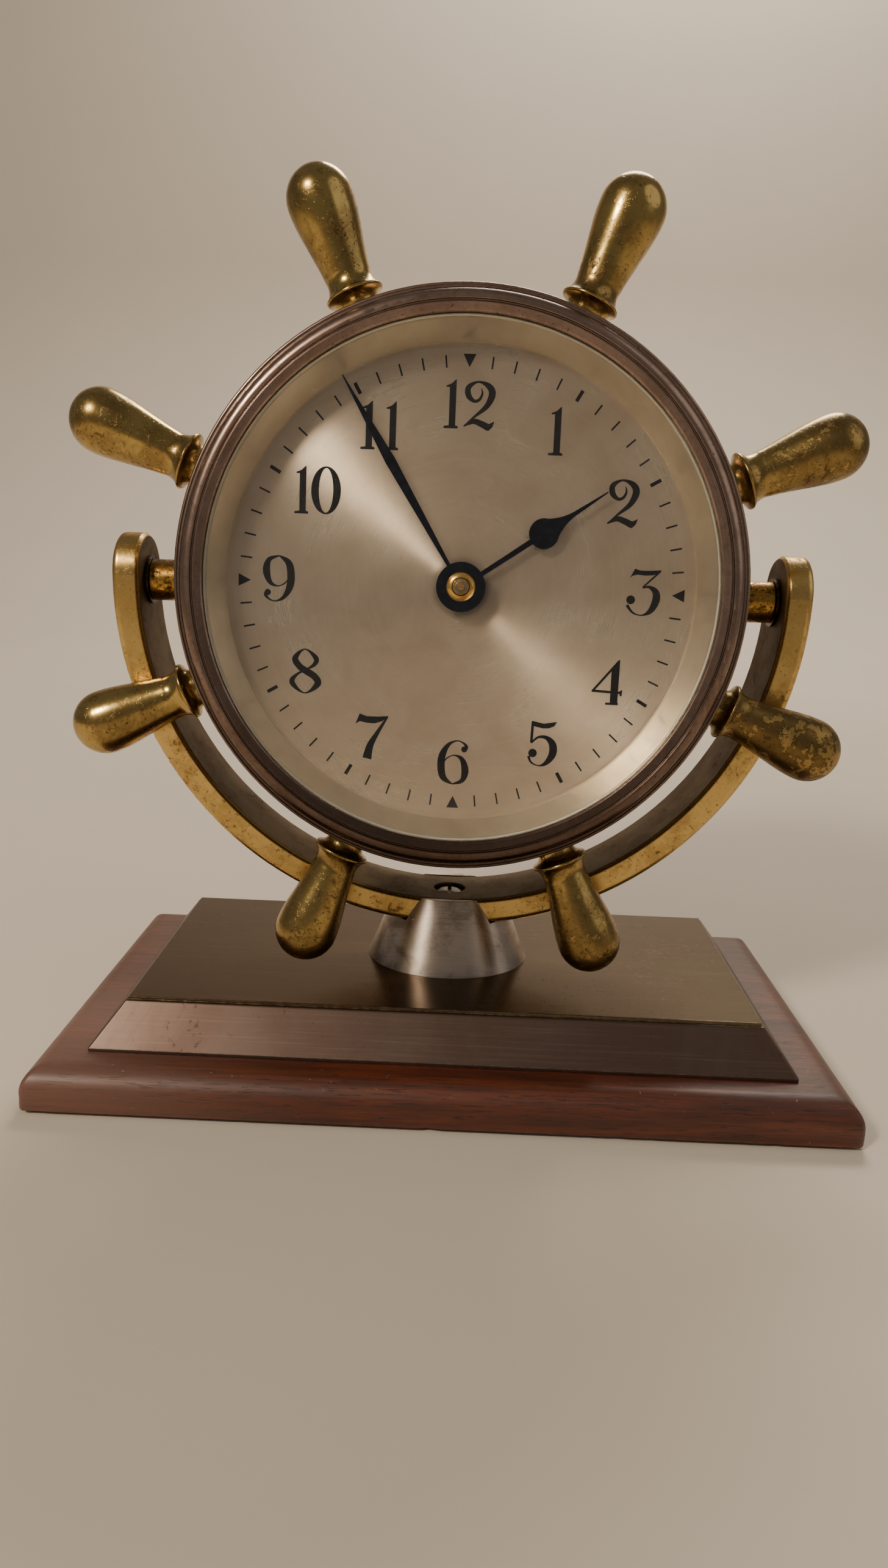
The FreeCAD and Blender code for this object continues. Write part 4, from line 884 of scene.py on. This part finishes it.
# Each hour's figures, the gap between two of them, and its middle on the dial in millimetres.
HOURS = {
    12: ("12", 0.075, (0.4, 42.8)),
    1: ("1", 0.0, (21.2, 37.4)),
    2: ("2", 0.0, (37.9, 21.5)),
    3: ("3", 0.0, (44.1, 0.5)),
    4: ("4", 0.0, (36.9, -21.4)),
    5: ("5", 0.0, (21.7, -37.3)),
    6: ("6", 0.0, (-0.2, -42.8)),
    7: ("7", 0.0, (-20.7, -37.1)),
    8: ("8", 0.0, (-37.3, -21.6)),
    9: ("9", 0.0, (-44.4, 0.6)),
    10: ("10", 0.055, (-35.3, 21.8)),
    11: ("11", 0.205, (-20.8, 37.3)),
}


def joined_shape(patches):
    """(points, faces) of the flat area that overlapping patches cover together."""
    points, faces = [], []
    for patch in patches:
        turn = sum(a.x * b.y - b.x * a.y for a, b in zip(patch, patch[1:] + patch[:1]))
        if abs(turn) < 1e-7:
            continue
        faces.append(list(range(len(points), len(points) + len(patch))))
        points += patch if turn > 0 else patch[::-1]
    corners, _, triangles, _, _, sources = delaunay_2d_cdt(points, [], faces, 1, 1e-5, True)
    return corners, [triangle for triangle, source in zip(triangles, sources) if source]


def build_numeral(hour, look):
    """One hour numeral as a thin raised layer of ink."""
    text, gap, centre = HOURS[hour]
    patches, cursor = [], 0.0
    for character in text:
        shape, width = FIGURES[character]
        patches += [[p + Vector((cursor, 0)) for p in patch] for patch in shape]
        cursor += width + gap
    middle = Vector(((cursor - gap) / 2, 0.5))
    points, faces = joined_shape(patches)
    bm = bmesh.new()
    corners = []
    for point in points:
        spot = (point - middle) * NUMERAL_HEIGHT + Vector(centre) * MM
        corners.append(bm.verts.new((spot.x, spot.y, DIAL_FACE + NUMERAL_LIFT)))
    for face in faces:
        bm.faces.new([corners[i] for i in face])
    loose = [v for v in bm.verts if not v.link_faces]
    bmesh.ops.delete(bm, geom=loose, context="VERTS")
    bmesh.ops.recalc_face_normals(bm, faces=bm.faces)
    flat = list(bm.faces)
    if flat[0].normal.z < 0:
        bmesh.ops.reverse_faces(bm, faces=flat)
    raised = bmesh.ops.extrude_face_region(bm, geom=flat)
    tops = [item for item in raised["geom"] if isinstance(item, bmesh.types.BMVert)]
    bmesh.ops.translate(bm, verts=tops, vec=(0, 0, NUMERAL_RELIEF))
    bmesh.ops.reverse_faces(bm, faces=flat)
    bmesh.ops.recalc_face_normals(bm, faces=bm.faces)
    bm.transform(HEAD)
    mesh = bpy.data.meshes.new(f"numeral_{hour}")
    bm.to_mesh(mesh)
    bm.free()
    mesh.materials.append(look.material)
    numeral = bpy.data.objects.new(f"numeral_{hour}", mesh)
    bpy.context.scene.collection.objects.link(numeral)
    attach(numeral, "head")


# ---------------------------------------------------------------------------------------------
# Dress the CAD nodes and build the pieces
# ---------------------------------------------------------------------------------------------
ink = dial_ink()
dress(spoke_brass(), *(f"spoke_{i}" for i in range(1, 9)))
dress(yoke_brass(), "yoke")
dress(fitting_brass("pivot_brass_aged", srgb(196, 152, 78), srgb(120, 88, 46)),
      "trunnions", "pivot_screws")
# The washers are darkened as painted shade between the yoke arms and the case.
dress(fitting_brass("washer_brass_dark", srgb(96, 72, 44), srgb(60, 44, 28)), "friction_washers")
dress(bronze("case_bronze_brown", srgb(166, 140, 126), srgb(142, 118, 104), (0.25, 0.31)), "bezel")
dress(bronze("case_bronze_dark", srgb(132, 110, 96), srgb(116, 96, 84), (0.28, 0.36)),
      "case_drum", "back_cover")
dress(bright_ring_brass(), "glass_ring", "hand_nut", "winding_key", "set_knob")
dress(silver_ring(), "reflector_ring")
dress(ink, "dial_marks")
dress(blued_steel(), "minute_hand", "hour_hand")
dress(steel("pedestal_steel_turned", srgb(196, 182, 170), srgb(150, 134, 122), 0.18, 0.3, 4200.0,
            0.85),
      "pedestal")
dress(steel("screw_steel_grey", srgb(140, 138, 136), srgb(96, 92, 90), 0.22, 0.2, 5200.0),
      "plate_screws", "pedestal_bolt", "pedestal_washer", "yoke_screw", "pillar_screws",
      "movement_screws", "cover_screws", "click_spring", "click", "ratchet_wheel", "barrel_arbor",
      "set_arbor", "cannon_pinion")
dress(movement_brass(), "front_plate", "back_plate", "pillars", "balance_cock", "barrel",
      "centre_wheel", "third_wheel", "fourth_wheel", "escape_wheel",
      "minute_wheel", "hour_wheel", "balance_wheel")
dress(spring_steel(), "mainspring", "hairspring", "pallet_lever")
dress(clear_glass(), "glass")
nodes["glass"].visible_shadow = False

wood_plinth = build_wood(mahogany())
build_felt(felt())
build_deck(deck_bronze())
build_dial(silvered_dial())
for hour in HOURS:
    build_numeral(hour, ink)


# ---------------------------------------------------------------------------------------------
# Floor, backdrop, lights and camera
# ---------------------------------------------------------------------------------------------
def paper(name, colour):
    """Matt studio paper with a faint mottle."""
    look = Look(name, {"Roughness": 0.9, "Specular IOR Level": 0.15})
    mottle = look.noise(9.0, 4.0)
    darker = tuple(0.94 * value for value in colour[:3]) + (1.0,)
    look.set("Base Color", look.mix(mottle, colour, darker))
    return look


def build_studio():
    """A pale floor that curves up into a pale backdrop well behind the clock."""
    wall_y, radius, top, near, half_width = 1.3, 0.5, 2.4, -2.2, 2.6
    profile = [(near, 0.0), (0.0, 0.0), (wall_y - radius, 0.0)]
    for step in range(1, 13):
        angle = math.radians(90 * step / 12)
        profile.append((wall_y - radius + radius * math.sin(angle), radius - radius * math.cos(angle)))
    profile.append((wall_y, top))
    verts, faces = [], []
    for y, z in profile:
        verts += [(-half_width, y, z), (half_width, y, z)]
    for row in range(len(profile) - 1):
        faces.append((2 * row, 2 * row + 1, 2 * row + 3, 2 * row + 2))
    mesh = bpy.data.meshes.new("studio_sweep")
    mesh.from_pydata(verts, [], faces)
    mesh.polygons.foreach_set("use_smooth", [True] * len(mesh.polygons))
    mesh.materials.append(paper("studio_paper", srgb(224, 212, 196)).material)
    sweep = bpy.data.objects.new("studio_sweep", mesh)
    bpy.context.scene.collection.objects.link(sweep)


def add_light(name, direction, distance, size, power, colour, target=(0, 0, 0.12)):
    """A soft round lamp that far from the target, in that direction."""
    data = bpy.data.lights.new(name, "AREA")
    data.shape = "DISK"
    data.size = size
    data.energy = power
    data.color = colour
    lamp = bpy.data.objects.new(name, data)
    away = Vector(direction).normalized()
    lamp.location = Vector(target) + away * distance
    lamp.rotation_euler = away.to_track_quat("Z", "Y").to_euler()
    bpy.context.scene.collection.objects.link(lamp)


def build_world():
    """A dim, even room."""
    world = bpy.data.worlds.new("studio_room")
    world.use_nodes = True
    background = world.node_tree.nodes["Background"]
    background.inputs["Color"].default_value = (0.60, 0.56, 0.52, 1.0)
    background.inputs["Strength"].default_value = 0.28
    bpy.context.scene.world = world


def build_camera():
    """The photo's viewpoint, as fitted to it: a wide lens close to the clock, looking a little down."""
    place = (0.00136, -0.27833, 0.13842)
    yaw, pitch, roll = 0.0143, 0.2333, 0.0370
    data = bpy.data.cameras.new("photo_view")
    data.sensor_width = 36.0
    data.lens = 23.96
    data.clip_start = 0.01
    data.clip_end = 20.0
    camera = bpy.data.objects.new("photo_view", data)
    camera.matrix_world = (
        Matrix.Translation(place)
        @ Matrix.Rotation(yaw, 4, "Z")
        @ Matrix.Rotation(math.pi / 2 - pitch, 4, "X")
        @ Matrix.Rotation(roll, 4, "Z")
    )
    bpy.context.scene.collection.objects.link(camera)
    bpy.context.scene.camera = camera


build_studio()
add_light("key_lamp", (-0.53, -0.63, 0.56), 1.2, 0.20, 8.0, (1.0, 0.88, 0.71))
add_light("fill_lamp", (0.9, -0.35, 0.6), 1.8, 1.8, 4.0, (1.0, 0.93, 0.84))
add_light("wall_lamp", (0.2, 0.1, 1.0), 1.3, 0.8, 24.0, (1.0, 0.93, 0.84), (0.0, 1.1, 0.1))
build_world()
build_camera()
